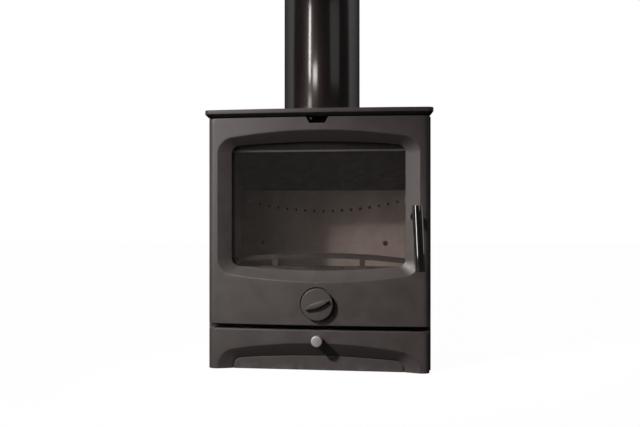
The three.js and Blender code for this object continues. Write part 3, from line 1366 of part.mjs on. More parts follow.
function airDial() {
  const dialGroup = frontGroup(0, FACE_Y - DIAL_STANDOFF, DIAL_Z, DIAL_TILT);
  const hubFoot = DIAL_BEARING_GAP - DIAL_STANDOFF - DIAL_POCKET_DEPTH;
  const disc = revolve([
    [0, hubFoot],
    [DIAL_HUB_RADIUS, hubFoot],
    [DIAL_HUB_RADIUS, 0],
    [DIAL_RADIUS, 0],
    [DIAL_RADIUS, DIAL_THICKNESS - DIAL_RIM_EASING],
    [DIAL_RADIUS - DIAL_RIM_EASING * 0.4, DIAL_THICKNESS - DIAL_RIM_EASING * 0.3],
    [DIAL_RADIUS - DIAL_RIM_EASING, DIAL_THICKNESS],
    [0, DIAL_THICKNESS],
  ], FINE_ROUND);
  const grip = prism(
    lens(GRIP_LENGTH, GRIP_WIDTH, GRIP_STEPS), DIAL_THICKNESS - 1, DIAL_THICKNESS + GRIP_HEIGHT,
  );
  add('air_dial', cut(
    join(disc, grip),
    rodZ(DIAL_SPINDLE_RADIUS + SEAT, hubFoot - 1, DIAL_SOCKET, 0, 0, 16),
  ), 'paint', dialGroup);

  const valveY = FACE_Y + VALVE_WALL + SEAT;
  const endY = valveY + VALVE_THICKNESS + SEAT;
  add('dial_spindle', join(
    rodY(DIAL_SPINDLE_RADIUS, FACE_Y - DIAL_STANDOFF - DIAL_SOCKET + SEAT, endY + 1, 0, DIAL_Z, 16),
    rodY(COLLAR_RADIUS, endY, endY + COLLAR_THICKNESS, 0, DIAL_Z, 6),
  ), 'steel');
  add('air_valve_plate', cut(
    rodY(VALVE_RADIUS, valveY, valveY + VALVE_THICKNESS, 0, DIAL_Z),
    ...portCutters(DIAL_TILT + 180 / VALVE_PORTS, valveY - 1, valveY + VALVE_THICKNESS + 1),
    rodY(DIAL_SPINDLE_RADIUS + SEAT, valveY - 1, endY + 1, 0, DIAL_Z, 16),
  ), 'steel');
}

// ---------------------------------------------------------------- airwash slider

function airwashSlider() {
  const z0 = FRAME_TOP_Z + SEAT;
  const middle = PEG_REST_X + SLIDER_TRAVEL / 2 - AIR_SLOT_WIDTH / 2 + 1;
  const y0 = FRAME_BACK_Y + (SHELF_DEPTH - FRAME_THICKNESS - SLIDER_WIDTH) / 2;
  const pegZ = z0 + SLIDER_THICKNESS / 2;
  const strip = cut(
    box(
      middle - SLIDER_LENGTH / 2, middle + SLIDER_LENGTH / 2, y0, y0 + SLIDER_WIDTH,
      z0, z0 + SLIDER_THICKNESS,
    ),
    ...airSlots(middle, z0 - 1, z0 + SLIDER_THICKNESS + 1),
  );
  const pegTip = FACE_Y + PEG_SETBACK;
  const arm = box(
    PEG_REST_X - PEG_RADIUS, PEG_REST_X + PEG_RADIUS, FRAME_Y - PEG_RADIUS, y0 + 1,
    z0, z0 + SLIDER_THICKNESS,
  );
  const peg = rodY(PEG_RADIUS, pegTip, FRAME_Y - 1, PEG_REST_X, pegZ, 16);
  add('airwash_slider', join(strip, arm, peg), 'steel');
}

// ---------------------------------------------------------------- assembly

sidePanels();
backPanel();
basePlate();
frontFrame();
latchKeeper();
hingeBrackets();
topPlate();
flue();
plinthFront();
outletCover();
rearShield();
grate();
sideBricks();
backLiner();
rearAirBox();
baffle();
airwashDeflector();
logGuard();
ashPan();
door();
glazing();
doorRope();
handle();
airDial();
airwashSlider();
airControl();

export default stove;
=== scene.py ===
# %% [markdown]
# # A box wood stove with a bowed door
# This lesson dresses a stove whose solids were drawn beforehand. The solids say where every
# piece is and how it moves. Here each casting gets its rounded edges, each fastener its head,
# and every surface its finish. Work in metres, with +Z up and the door facing -Y.

# %% Load the solids
import math

import bmesh
import bpy
import numpy as np
from mathutils import Matrix, Vector


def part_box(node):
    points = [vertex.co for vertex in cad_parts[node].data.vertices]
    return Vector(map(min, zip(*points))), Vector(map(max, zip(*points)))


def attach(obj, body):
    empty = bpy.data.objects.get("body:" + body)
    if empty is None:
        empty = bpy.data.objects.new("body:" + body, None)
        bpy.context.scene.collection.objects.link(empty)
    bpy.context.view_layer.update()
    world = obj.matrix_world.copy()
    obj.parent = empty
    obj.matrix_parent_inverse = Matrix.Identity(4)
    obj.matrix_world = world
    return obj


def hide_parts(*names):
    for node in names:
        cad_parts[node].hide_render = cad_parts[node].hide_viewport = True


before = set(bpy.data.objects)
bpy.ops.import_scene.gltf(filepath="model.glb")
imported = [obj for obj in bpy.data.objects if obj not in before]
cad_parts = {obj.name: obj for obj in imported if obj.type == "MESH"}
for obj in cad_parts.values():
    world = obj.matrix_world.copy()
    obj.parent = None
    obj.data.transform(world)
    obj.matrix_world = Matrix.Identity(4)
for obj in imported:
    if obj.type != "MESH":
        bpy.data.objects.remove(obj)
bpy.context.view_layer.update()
MM = 0.001

# %% [markdown]
# ## Where things are
# A dressed piece has to sit exactly where its solid sits, so the places are read from the
# solids instead of being typed again. Only the sizes of details that the solids leave out,
# such as small fillets, are new numbers.

# %% Read the places from the solids
plinth_low, plinth_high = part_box("plinth_front")
plate_low, plate_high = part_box("top_plate")
door_low, door_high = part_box("door")
pipe_low, pipe_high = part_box("flue_pipe")

DOOR_DEPTH = 34 * MM
FACE_Y = plinth_low.y
DOOR_BACK = FACE_Y + DOOR_DEPTH
DOOR_BOTTOM, DOOR_TOP = door_low.z, door_high.z
PIPE_X = (pipe_low.x + pipe_high.x) / 2
PIPE_Y = (pipe_low.y + pipe_high.y) / 2
PIPE_R = (pipe_high.x - pipe_low.x) / 2
print("door face at y =", round(FACE_Y, 5), "and its foot at z =", round(DOOR_BOTTOM, 4))
print("pipe axis at y =", round(PIPE_Y, 5), "radius", round(PIPE_R, 4))

# %% [markdown]
# ## The camera
# The camera stands a metre and a half in front of the door, a little to the right, at the
# height of the window, and looks slightly to the left. A lens cannot look left and keep the
# object in the middle of the picture unless the sensor is shifted, so the frame is slid over
# with a small shift instead of turning the camera more. It is level, which keeps every
# upright edge upright in the picture.

# %% Place the camera
DISTANCE, FAR_END = 1.5, 50
EYE = Vector((0.076, FACE_Y - DISTANCE, 0.2911))
YAW = 0.1351
SENSOR, PICTURE_WIDTH, FOCAL_PIXELS = 36.0, 640, 827.5
SHIFT_X, SHIFT_Y = 0.1142, -0.0043

look = Vector((-math.sin(YAW), math.cos(YAW), 0))
right = Vector((math.cos(YAW), math.sin(YAW), 0))
up = right.cross(look)


def link(name, data):
    """An object of the data, linked to the scene."""
    thing = bpy.data.objects.new(name, data)
    bpy.context.collection.objects.link(thing)
    return thing


camera_data = bpy.data.cameras.new("view")
camera_data.sensor_width = SENSOR
camera_data.lens = FOCAL_PIXELS * SENSOR / PICTURE_WIDTH
camera_data.shift_x, camera_data.shift_y = SHIFT_X, SHIFT_Y
camera_data.clip_end = FAR_END
camera = link("view", camera_data)
pose = Matrix((right, up, -look)).transposed().to_4x4()
pose.translation = EYE
camera.matrix_world = pose
bpy.context.scene.camera = camera
bpy.context.scene.view_settings.view_transform = "Standard"
print("lens in mm:", round(camera_data.lens, 2))

# %% [markdown]
# ## Tools for making pieces
# Three small helpers do most of the work. One links a finished mesh, smooths it, keeps its
# sharp corners and hands it to a body. One skins a list of rings that have the same number
# of points. One works out a modifier or a tree of nodes and keeps only the plain mesh.

# %% Helpers: finish a mesh, skin rings, bake modifiers
SHARP = math.radians(32)
DOUBLED = 1e-7


def finish_piece(name, mesh, body, material, nodes, sharp=SHARP):
    """Links the mesh as a piece of a body, smooth except at corners sharper than `sharp`;
    with no `sharp` the mesh keeps the normals that it comes with."""
    mesh.name = name
    mesh.materials.clear()
    mesh.materials.append(material)
    if sharp is not None:
        mesh.polygons.foreach_set("use_smooth", [True] * len(mesh.polygons))
        mesh.set_sharp_from_angle(angle=sharp)
    piece = link(name, mesh)
    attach(piece, body)
    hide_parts(*nodes)
    return piece


def mesh_of(bm):
    mesh = bpy.data.meshes.new("work")
    bm.to_mesh(mesh)
    bm.free()
    return mesh


def skin_rings(rings, closed=True, loop=False):
    """Quads between neighbouring rings; `closed` joins each ring's ends, `loop` the first
    and last ring."""
    bm = bmesh.new()
    made = [[bm.verts.new(p) for p in ring] for ring in rings]
    pairs = list(zip(made, made[1:]))
    if loop:
        pairs.append((made[-1], made[0]))
    count = len(rings[0])
    for a, b in pairs:
        for i in range(count if closed else count - 1):
            j = (i + 1) % count
            bm.faces.new((a[i], a[j], b[j], b[i]))
    return bm, made


def capped(bm):
    """Fills every open end."""
    bmesh.ops.holes_fill(bm, edges=[e for e in bm.edges if e.is_boundary], sides=0)
    return bm


def outward(bm):
    bmesh.ops.remove_doubles(bm, verts=bm.verts, dist=DOUBLED)
    bmesh.ops.recalc_face_normals(bm, faces=bm.faces)
    return bm


def plain_mesh(thing):
    """The mesh of a working object after its modifiers. The object itself is removed."""
    bpy.context.view_layer.update()
    ready = thing.evaluated_get(bpy.context.evaluated_depsgraph_get())
    mesh = bpy.data.meshes.new_from_object(ready)
    bpy.data.objects.remove(thing)
    return mesh


def baked(mesh, *modifiers):
    """The mesh after the given (type, settings) modifiers, as plain data."""
    thing = link("work", mesh)
    for kind, settings in modifiers:
        modifier = thing.modifiers.new(kind.lower(), kind)
        for key, value in settings.items():
            setattr(modifier, key, value)
    return plain_mesh(thing)


# %% [markdown]
# ## Turned and boxed shapes
# Knobs, pins and bosses are all one idea: a profile turned round a line. Lugs and plates are
# boxes. Both come as plain meshes, so that booleans can use them as tools too.

# %% Helpers: turn a profile, make a box, carve
def turned(profile, centre, axis="z", segments=96):
    """A closed solid from (radius, height) pairs, turned about `axis` through `centre`."""
    rings = []
    for radius, height in profile:
        ring = []
        for i in range(segments):
            a = 2 * math.pi * i / segments
            x, y, z = radius * math.cos(a), radius * math.sin(a), height
            if axis == "y":
                x, y, z = x, -z, y
            ring.append(Vector(centre) + Vector((x, y, z)))
        rings.append(ring)
    return mesh_of(outward(capped(skin_rings(rings)[0])))


def boxed(low, high):
    bm = bmesh.new()
    bmesh.ops.create_cube(bm, size=1)
    low, high = Vector(low), Vector(high)
    for v in bm.verts:
        v.co = (low + high) / 2 + Vector(c * s for c, s in zip(v.co, high - low))
    return mesh_of(outward(bm))


def carve(mesh, tools, operation="DIFFERENCE"):
    """Cuts each tool mesh out of the mesh, or joins it on."""
    for tool in tools:
        cutter = link("tool", tool)
        settings = {"object": cutter, "operation": operation, "solver": "EXACT"}
        mesh = baked(mesh, ("BOOLEAN", settings))
        bpy.data.objects.remove(cutter)
    return mesh


# %% [markdown]
# ## Softening a solid
# A casting has no knife edges. Where a solid's shape is already right, its dressed piece is
# a copy with the loose triangles merged, flat areas joined into large faces and every edge
# rounded by a bevel. The corners of the bevel are mitred, because arcs there would fold the
# large faces over themselves. The normals are then weighted by the size of the faces, so
# that the flat faces stay flat up to their rounded edges. The solid itself is never touched.

# %% Helper: soften a copy of a solid
LOOSE = 2e-6
SAME_PLANE, ROUNDED_ANGLE = math.radians(0.1), math.radians(40)


def softened(node, width):
    bm = bmesh.new()
    bm.from_mesh(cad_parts[node].data)
    bmesh.ops.remove_doubles(bm, verts=bm.verts, dist=LOOSE)
    bmesh.ops.dissolve_limit(bm, angle_limit=SAME_PLANE, verts=bm.verts, edges=bm.edges)
    for face in bm.faces:
        face.smooth = True
    rounding = {
        "width": width, "segments": 2, "limit_method": "ANGLE", "angle_limit": ROUNDED_ANGLE,
        "use_clamp_overlap": True, "miter_outer": "MITER_SHARP"}
    weighting = {"mode": "FACE_AREA", "weight": 100, "thresh": 0.0001}
    return baked(mesh_of(bm), ("BEVEL", rounding), ("WEIGHTED_NORMAL", weighting))


# %% [markdown]
# ## Shader groups: what the finishes share
# Nearly every surface of this stove is cast or pressed iron, so the same few things happen
# on all of them: a fine sandy grain left by the mould, paint worn thin where hands and cloths
# touch the edges, a little dust on whatever faces up, and soot where the fire reaches. Each
# of these is one node group, built once and placed in each material with its own values.

# %% Helpers: start a node group, place the usual nodes
def new_group(name, inputs, outputs):
    group = bpy.data.node_groups.new(name, "ShaderNodeTree")
    for label, kind, value in inputs:
        socket = group.interface.new_socket(label, in_out="INPUT", socket_type=kind)
        socket.default_value = value
    for label, kind in outputs:
        group.interface.new_socket(label, in_out="OUTPUT", socket_type=kind)
    return group, group.nodes.new("NodeGroupInput"), group.nodes.new("NodeGroupOutput")


def set_inputs(node, **values):
    """Sets inputs by their labels, with _ for a space, to constants or other sockets."""
    for label, value in values.items():
        set_socket(node.inputs[label.replace("_", " ")], value)


def set_socket(socket, value):
    if isinstance(value, bpy.types.NodeSocket):
        socket.id_data.links.new(value, socket)
    else:
        socket.default_value = value


def math_node(tree, operation, a, b=None, clamp=False):
    node = tree.nodes.new("ShaderNodeMath")
    node.operation = operation
    node.use_clamp = clamp
    for socket, value in zip(node.inputs, (a, b)):
        if value is not None:
            set_socket(socket, value)
    return node.outputs[0]


def remap(tree, value, low, high, to_low=0.0, to_high=1.0):
    node = tree.nodes.new("ShaderNodeMapRange")
    node.interpolation_type = "SMOOTHSTEP"
    set_inputs(
        node, Value=value, From_Min=low, From_Max=high, To_Min=to_low, To_Max=to_high)
    return node.outputs["Result"]


def spread(tree, mask, low, high):
    """A mask that runs from 0 to 1, as a value that runs from low to high."""
    return remap(tree, mask, 0.0, 1.0, low, high)


def noise(tree, vector, scale, detail=3.0, roughness=0.5):
    node = tree.nodes.new("ShaderNodeTexNoise")
    set_inputs(node, Vector=vector, Scale=scale, Detail=detail, Roughness=roughness)
    return node.outputs["Fac"]


def axes_of(tree, vector):
    node = tree.nodes.new("ShaderNodeSeparateXYZ")
    set_socket(node.inputs[0], vector)
    return node.outputs


def stretched(tree, vector, scale):
    node = tree.nodes.new("ShaderNodeMapping")
    set_inputs(node, Vector=vector, Scale=scale)
    return node.outputs[0]


# %% [markdown]
# ### Mould grain
# Sand casting leaves a skin of tiny rounded grains, about a millimetre across, and slow
# waves some centimetres long. Two noises of those sizes give a height for the bump and a
# mask that lets roughness and colour vary in step with it.

# %% Group: mould grain
grain_group, gin, gout = new_group(
    "mould grain",
    [("Vector", "NodeSocketVector", (0, 0, 0)), ("Grain Scale", "NodeSocketFloat", 900.0),
     ("Wave Share", "NodeSocketFloat", 0.35)],
    [("Height", "NodeSocketFloat"), ("Mask", "NodeSocketFloat")])
fine = noise(grain_group, gin.outputs["Vector"], gin.outputs["Grain Scale"], 3.0, 0.55)
slow = noise(grain_group, gin.outputs["Vector"], 38.0, 4.0, 0.5)
waves = math_node(grain_group, "MULTIPLY", slow, gin.outputs["Wave Share"])
speckle = remap(grain_group, fine, 0.35, 0.68)
cloud = remap(grain_group, slow, 0.3, 0.7)
both = math_node(grain_group, "ADD", speckle, cloud)
set_inputs(
    gout, Height=math_node(grain_group, "ADD", fine, waves),
    Mask=math_node(grain_group, "MULTIPLY", both, 0.5))
print("group:", grain_group.name)

# %% [markdown]
# ### Edge wear and painted edge highlight
# Paint and oxide go first from corners that stand out; on the paint the lighter edge is also a
# painted highlight. Pointiness is high exactly there, and a noise breaks the line up so that it
# never looks drawn on.

# %% Group: edge wear and painted edge highlight
edge_wear_and_highlight_group, gin, gout = new_group(
    "edge wear and painted highlight",
    [("Vector", "NodeSocketVector", (0, 0, 0)), ("Amount", "NodeSocketFloat", 0.5),
     ("Patch Scale", "NodeSocketFloat", 60.0)],
    [("Mask", "NodeSocketFloat")])
geometry = edge_wear_and_highlight_group.nodes.new("ShaderNodeNewGeometry")
edges = remap(edge_wear_and_highlight_group, geometry.outputs["Pointiness"], 0.52, 0.6)
patches = remap(edge_wear_and_highlight_group, noise(
    edge_wear_and_highlight_group, gin.outputs["Vector"], gin.outputs["Patch Scale"], 5.0, 0.6), 0.4, 0.65)
worn = math_node(edge_wear_and_highlight_group, "MULTIPLY", edges, patches)
worn = math_node(edge_wear_and_highlight_group, "MULTIPLY", worn, gin.outputs["Amount"], clamp=True)
set_inputs(gout, Mask=worn)
print("group:", edge_wear_and_highlight_group.name)

# %% [markdown]
# ### Settled dust and painted shade below
# Dust lies where a surface looks up, in soft patches. The surfaces that look down get a painted
# shade, a darkening that stands in for the shade under them. The normal's Z says which way a
# surface looks.

# %% Group: settled dust and painted shade below
dust_and_shade_group, gin, gout = new_group(
    "settled dust and painted shade below",
    [("Vector", "NodeSocketVector", (0, 0, 0)), ("Amount", "NodeSocketFloat", 0.3)],
    [("Mask", "NodeSocketFloat"), ("Under", "NodeSocketFloat")])
geometry = dust_and_shade_group.nodes.new("ShaderNodeNewGeometry")
facing_up = axes_of(dust_and_shade_group, geometry.outputs["Normal"])["Z"]
upward = remap(dust_and_shade_group, facing_up, 0.55, 1.0)
drift = remap(dust_and_shade_group, noise(dust_and_shade_group, gin.outputs["Vector"], 22.0, 6.0, 0.6), 0.3, 0.75)
settled = math_node(dust_and_shade_group, "MULTIPLY", upward, drift)
settled = math_node(dust_and_shade_group, "MULTIPLY", settled, gin.outputs["Amount"], clamp=True)
# The second output is a painted shade, stronger as a face looks further down.
set_inputs(gout, Mask=settled, Under=remap(dust_and_shade_group, facing_up, -0.2, -0.75))
print("group:", dust_and_shade_group.name)

# %% [markdown]
# ### Soot
# Smoke darkens the firebox in vertical drifts, more towards the top. The mask grows with
# height between two levels, torn by a noise stretched upwards.

# %% Group: soot
soot_group, gin, gout = new_group(
    "soot",
    [("Vector", "NodeSocketVector", (0, 0, 0)), ("Low", "NodeSocketFloat", 0.17),
     ("High", "NodeSocketFloat", 0.45), ("Amount", "NodeSocketFloat", 0.8)],
    [("Mask", "NodeSocketFloat")])
upright = stretched(soot_group, gin.outputs["Vector"], (1, 1, 0.35))
drifts = noise(soot_group, upright, 14.0, 6.0, 0.6)
height = axes_of(soot_group, gin.outputs["Vector"])["Z"]
reach = math_node(soot_group, "SUBTRACT", height, gin.outputs["Low"])
depth = math_node(soot_group, "SUBTRACT", gin.outputs["High"], gin.outputs["Low"])
share = math_node(soot_group, "DIVIDE", reach, depth, clamp=True)
torn = math_node(soot_group, "ADD", share, math_node(soot_group, "SUBTRACT", drifts, 0.5))
torn = math_node(soot_group, "MULTIPLY", torn, gin.outputs["Amount"], clamp=True)
set_inputs(gout, Mask=torn)
print("group:", soot_group.name)


# %% [markdown]
# ## Finishes
# Every finish starts the same way: a material with one Principled shader, fed with Object
# coordinates so that the pattern stays on the piece as the door swings. A small helper makes
# that start and another adds a group and returns its node.

# %% Helpers: start a finish, place a group, mix colours
def finish_start(name, colour, roughness, metallic=0.0):
    material = bpy.data.materials.new(name)
    material.use_nodes = True
    tree = material.node_tree
    shader = tree.nodes["Principled BSDF"]
    set_inputs(shader, Base_Color=(*colour, 1), Roughness=roughness, Metallic=metallic)
    place = tree.nodes.new("ShaderNodeTexCoord").outputs["Object"]
    return material, tree, shader, place


def use_group(tree, group, vector, **values):
    node = tree.nodes.new("ShaderNodeGroup")
    node.node_tree = group
    set_inputs(node, Vector=vector, **values)
    return node.outputs


def mix_colour(tree, mask, first, second):
    node = tree.nodes.new("ShaderNodeMix")
    node.data_type = "RGBA"
    tree.links.new(mask, node.inputs["Factor"])
    for socket, colour in ((node.inputs[6], first), (node.inputs[7], second)):
        set_socket(socket, (*colour, 1) if isinstance(colour, tuple) else colour)
    return node.outputs[2]


def mix_shaders(tree, mask, first, second):
    """Lays the blend of two shaders on the material's surface."""
    node = tree.nodes.new("ShaderNodeMixShader")
    for socket, value in zip(node.inputs, (mask, first, second)):
        tree.links.new(value, socket)
    tree.links.new(node.outputs[0], tree.nodes["Material Output"].inputs["Surface"])


def bump(tree, height, strength, distance, shader):
    node = tree.nodes.new("ShaderNodeBump")
    set_inputs(node, Strength=strength, Distance=distance, Height=height)
    set_inputs(shader, Normal=node.outputs[0])


def times(colour, factor):
    return tuple(c * factor for c in colour)


# %% [markdown]
# ### Stove paint
# Heat-proof paint over cast iron is a warm charcoal grey, satin rather than matt, and the
# casting's grain shows through it. Corners are lighter, partly rubbed and partly a painted
# highlight, dust dulls the upward faces, and a painted shade makes the faces that look down almost
# black.

# %% Finish: stove paint
# The rubbed paint colour is partly wear and partly a painted edge highlight.
PAINT, RUBBED_AND_HIGHLIT_PAINT = (0.088, 0.074, 0.072), (0.24, 0.21, 0.2)
# The last colour is a painted shade for the faces that look down.
DUST, PAINTED_SHADE_BELOW = (0.3, 0.28, 0.26), (0.006, 0.004, 0.004)


def make_paint(name, painted_shade_below, grain=0.16, dust=0.35, wear=0.9):
    material, tree, shader, place = finish_start(name, PAINT, 0.46)
    skin = use_group(tree, grain_group, place, Grain_Scale=850.0, Wave_Share=0.4)
    rubbed = use_group(tree, edge_wear_and_highlight_group, place, Amount=wear)["Mask"]
    facing = use_group(tree, dust_and_shade_group, place, Amount=dust)
    settled = facing["Mask"]
    base = mix_colour(tree, skin["Mask"], times(PAINT, 0.86), times(PAINT, 1.1))
    # Lighter edges: rubbed paint and a painted highlight.
    base = mix_colour(tree, rubbed, base, RUBBED_AND_HIGHLIT_PAINT)
    base = mix_colour(tree, settled, base, DUST)
    # Painted shade: faces that look down are darkened towards near black.
    base = mix_colour(tree, math_node(tree, "MULTIPLY", facing["Under"], painted_shade_below), base, PAINTED_SHADE_BELOW)
    gloss = math_node(tree, "ADD", spread(tree, skin["Mask"], 0.42, 0.52), settled)
    set_inputs(shader, Specular_IOR_Level=0.8, Base_Color=base, Roughness=gloss)
    bump(tree, skin["Height"], grain, 0.0004, shader)
    return material


stove_paint = make_paint("stove paint", painted_shade_below=0.4)
# The plate gets almost full painted shade on its chamfered underside.
plate_paint = make_paint("plate paint", painted_shade_below=0.95)
print("finishes:", stove_paint.name, "and", plate_paint.name)

# %% [markdown]
# ### Flue enamel
# The pipe is vitreous enamel: almost black, very smooth, with broad soft reflections and the
# faintest ripple along its length.

# %% Finish: flue enamel
enamel, tree, shader, place = finish_start("flue enamel", (0.016, 0.012, 0.011), 0.4)
ripple = use_group(
    tree, grain_group, stretched(tree, place, (1, 1, 0.22)), Grain_Scale=260.0, Wave_Share=1.0)
base = mix_colour(tree, ripple["Mask"], (0.013, 0.0095, 0.0085), (0.02, 0.0155, 0.014))
settled = use_group(tree, dust_and_shade_group, place, Amount=0.25)["Mask"]
gloss = math_node(tree, "ADD", spread(tree, ripple["Mask"], 0.36, 0.46), settled)
set_inputs(
    shader, Base_Color=base, Roughness=gloss, Specular_IOR_Level=1.0,
    Specular_Tint=(1, 0.78, 0.76, 1), Coat_Weight=1.0, Coat_Roughness=0.14, Coat_IOR=2.2)
bump(tree, ripple["Height"], 0.05, 0.0005, shader)
print("finish:", enamel.name)


# %% [markdown]
# ### Bright and satin metal
# The handle bar is polished and the knob is turned and left satin. Both have the fine rings
# or lines that the tool left, so a stretched noise feeds the bump, and fingerprints make the
# roughness wander.

# %% Finishes: chrome, satin knob, plain steel
def make_metal(name, colour, low, high, stretch, lines, dark):
    material, tree, shader, place = finish_start(name, colour, (low + high) / 2, 1.0)
    skin = use_group(
        tree, grain_group, stretched(tree, place, stretch), Grain_Scale=1400.0, Wave_Share=0.2)
    prints = remap(tree, noise(tree, place, 45.0, 5.0, 0.6), 0.35, 0.7)
    base = mix_colour(tree, skin["Mask"], times(colour, dark), colour)
    set_inputs(shader, Base_Color=base, Roughness=spread(tree, prints, low, high))
    bump(tree, skin["Height"], lines, 0.0002, shader)
    return material


chrome = make_metal("bright chrome", (0.62, 0.6, 0.585), 0.06, 0.14, (1, 1, 0.02), 0.02, 0.94)
satin = make_metal("satin knob", (0.86, 0.83, 0.81), 0.46, 0.56, (1, 0.05, 1), 0.06, 0.9)
steel = make_metal("plain steel", (0.33, 0.315, 0.3), 0.28, 0.45, (0.1, 1, 1), 0.1, 0.75)
print("finishes:", chrome.name, satin.name, steel.name)

# %% [markdown]
# ### Raw iron and burnt sheet
# The unpainted castings are rough and dark, and the sheet inside the firebox is smoother and
# darker still. One sheet, the airwash deflector, has a lip along its foot, and a painted highlight
# stands in for the light it catches, so a finish can be lightened up to a given height.

# %% Finishes: raw iron, burnt sheet
# The bright lip colour is a painted highlight.
RUBBED_IRON, SOOTED_IRON, PAINTED_LIP_HIGHLIGHT = (
    (0.1, 0.088, 0.082), (0.018, 0.015, 0.014), (0.34, 0.31, 0.295))
LIP_HEIGHT, LIP_FADE = 2.5 * MM, 3.2 * MM
SHEET = (0.022, 0.018, 0.017)


def make_iron(name, colour, roughness, heat=0.5, grain=0.35, lip_foot=None):
    """With `lip_foot` the sheet gets a painted highlight from that height up to the lip's."""
    material, tree, shader, place = finish_start(name, colour, roughness, 0.35)
    skin = use_group(tree, grain_group, place, Grain_Scale=620.0, Wave_Share=0.6)
    rubbed = use_group(tree, edge_wear_and_highlight_group, place, Amount=0.7)["Mask"]
    drift = use_group(tree, soot_group, place, Low=0.1, High=0.5, Amount=heat)["Mask"]
    base = mix_colour(tree, skin["Mask"], times(colour, 0.75), times(colour, 1.25))
    base = mix_colour(tree, rubbed, base, RUBBED_IRON)
    base = mix_colour(tree, drift, base, SOOTED_IRON)
    # Painted highlight along the deflector's lip.
    if lip_foot is not None:
        height = axes_of(tree, place)["Z"]
        lip = remap(tree, height, lip_foot + LIP_HEIGHT, lip_foot + LIP_FADE, 1.0, 0.0)
        base = mix_colour(tree, lip, base, PAINTED_LIP_HIGHLIGHT)
    gloss = spread(tree, skin["Mask"], roughness - 0.08, roughness + 0.08)
    set_inputs(shader, Base_Color=base, Roughness=gloss)
    bump(tree, skin["Height"], grain, 0.0005, shader)
    return material


iron = make_iron("raw iron", (0.03, 0.026, 0.024), 0.66)
burnt = make_iron("burnt sheet", SHEET, 0.55, 0.3, 0.15)
lip_highlit_sheet = make_iron(
    "burnt sheet with a painted lip highlight", SHEET, 0.5, 0.3, 0.15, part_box("airwash_deflector")[0].z)
print("finishes:", iron.name, burnt.name, lip_highlit_sheet.name)

# %% [markdown]
# ### Firebrick, rope and glass
# The liners are a pale rough board, browned by smoke. The rope is woven glass yarn. The
# window is almost wholly transmissive, with a last bit of haze. For shadow rays it turns
# into a clear tint, so that the studio light reaches the firebox behind it.

# %% Finishes: firebrick, rope, glass
brick, tree, shader, place = finish_start("sooted firebrick", (0.17, 0.145, 0.125), 0.85)
skin = use_group(tree, grain_group, place, Grain_Scale=420.0, Wave_Share=0.9)
drift = use_group(tree, soot_group, place, Low=0.2, High=0.42, Amount=0.55)["Mask"]
pits = tree.nodes.new("ShaderNodeTexVoronoi")
set_inputs(pits, Vector=place, Scale=260.0)
pitted = remap(tree, pits.outputs["Distance"], 0.0, 0.28, 1.0, 0.0)
base = mix_colour(tree, skin["Mask"], (0.24, 0.2, 0.185), (0.34, 0.29, 0.27))
base = mix_colour(tree, pitted, base, (0.16, 0.135, 0.125))
base = mix_colour(tree, drift, base, (0.035, 0.028, 0.025))
set_inputs(shader, Base_Color=base, Roughness=spread(tree, skin["Mask"], 0.78, 0.92))
bump(tree, math_node(tree, "SUBTRACT", skin["Height"], pitted), 0.5, 0.0006, shader)

rope, tree, shader, place = finish_start("woven rope", (0.09, 0.085, 0.08), 0.9)
skin = use_group(tree, grain_group, place, Grain_Scale=2200.0, Wave_Share=0.1)
base = mix_colour(tree, skin["Mask"], (0.035, 0.032, 0.03), (0.13, 0.122, 0.115))
set_inputs(
    shader, Base_Color=base, Roughness=spread(tree, skin["Mask"], 0.8, 0.95),
    Sheen_Weight=0.15)
bump(tree, skin["Height"], 0.6, 0.0004, shader)

glass, tree, shader, place = finish_start("stove glass", (0.82, 0.79, 0.77), 0.02)
smears = remap(tree, noise(tree, place, 9.0, 4.0, 0.5), 0.45, 0.7, 0.0, 0.006)
set_inputs(shader, Transmission_Weight=0.989, IOR=1.47, Roughness=smears)
clear = tree.nodes.new("ShaderNodeBsdfTransparent")
set_inputs(clear, Color=(0.8, 0.78, 0.76, 1))
rays = tree.nodes.new("ShaderNodeLightPath")
mix_shaders(tree, rays.outputs["Is Shadow Ray"], shader.outputs[0], clear.outputs[0])
print("finishes:", brick.name, rope.name, glass.name)


# %% [markdown]
# ## Outlines of the castings
# The door, its recess, its window and the plinth's arch are all the same kind of outline: a
# gentle arch above (and below), straight sides and round corners. If every outline is cut
# into the same number of corner, arch and side points, then any two of them can be skinned
# together and the creases run cleanly from corner to corner.

# %% Helper: the arched outline
CORNER_STEPS, ARCH_STEPS, SIDE_STEPS = 14, 56, 40


def arch_half(half, middle, drop, corner):
    """Right to left over the top: corner, arch, corner."""
    flat = half - corner
    slope = math.atan(2 * drop * flat / half ** 2)
    turn = flat + corner * math.sin(slope)
    corner_z = middle - drop * (turn / half) ** 2 - corner * math.cos(slope)
    angles = [(math.pi / 2 - slope) * i / CORNER_STEPS for i in range(CORNER_STEPS + 1)]
    right_corner = [
        (flat + corner * math.cos(a), corner_z + corner * math.sin(a)) for a in angles]
    arch = []
    for i in range(1, ARCH_STEPS):
        x = turn - 2 * turn * i / ARCH_STEPS
        arch.append((x, middle - drop * (x / half) ** 2))
    left_corner = [(-x, z) for x, z in reversed(right_corner)]
    return right_corner + arch + left_corner


def between(a, b, steps=SIDE_STEPS):
    return [tuple(p + (q - p) * i / steps for p, q in zip(a, b)) for i in range(1, steps)]


def opening(half, top, top_drop, bottom, bottom_drop, corner):
    """Closed outline in X and Z: top, left side, bottom, right side."""
    upper = arch_half(half, top, top_drop, corner)
    lower = [(-x, -z) for x, z in arch_half(half, -bottom, bottom_drop, corner)]
    return upper + between(upper[-1], lower[0]) + lower + between(lower[-1], upper[0])


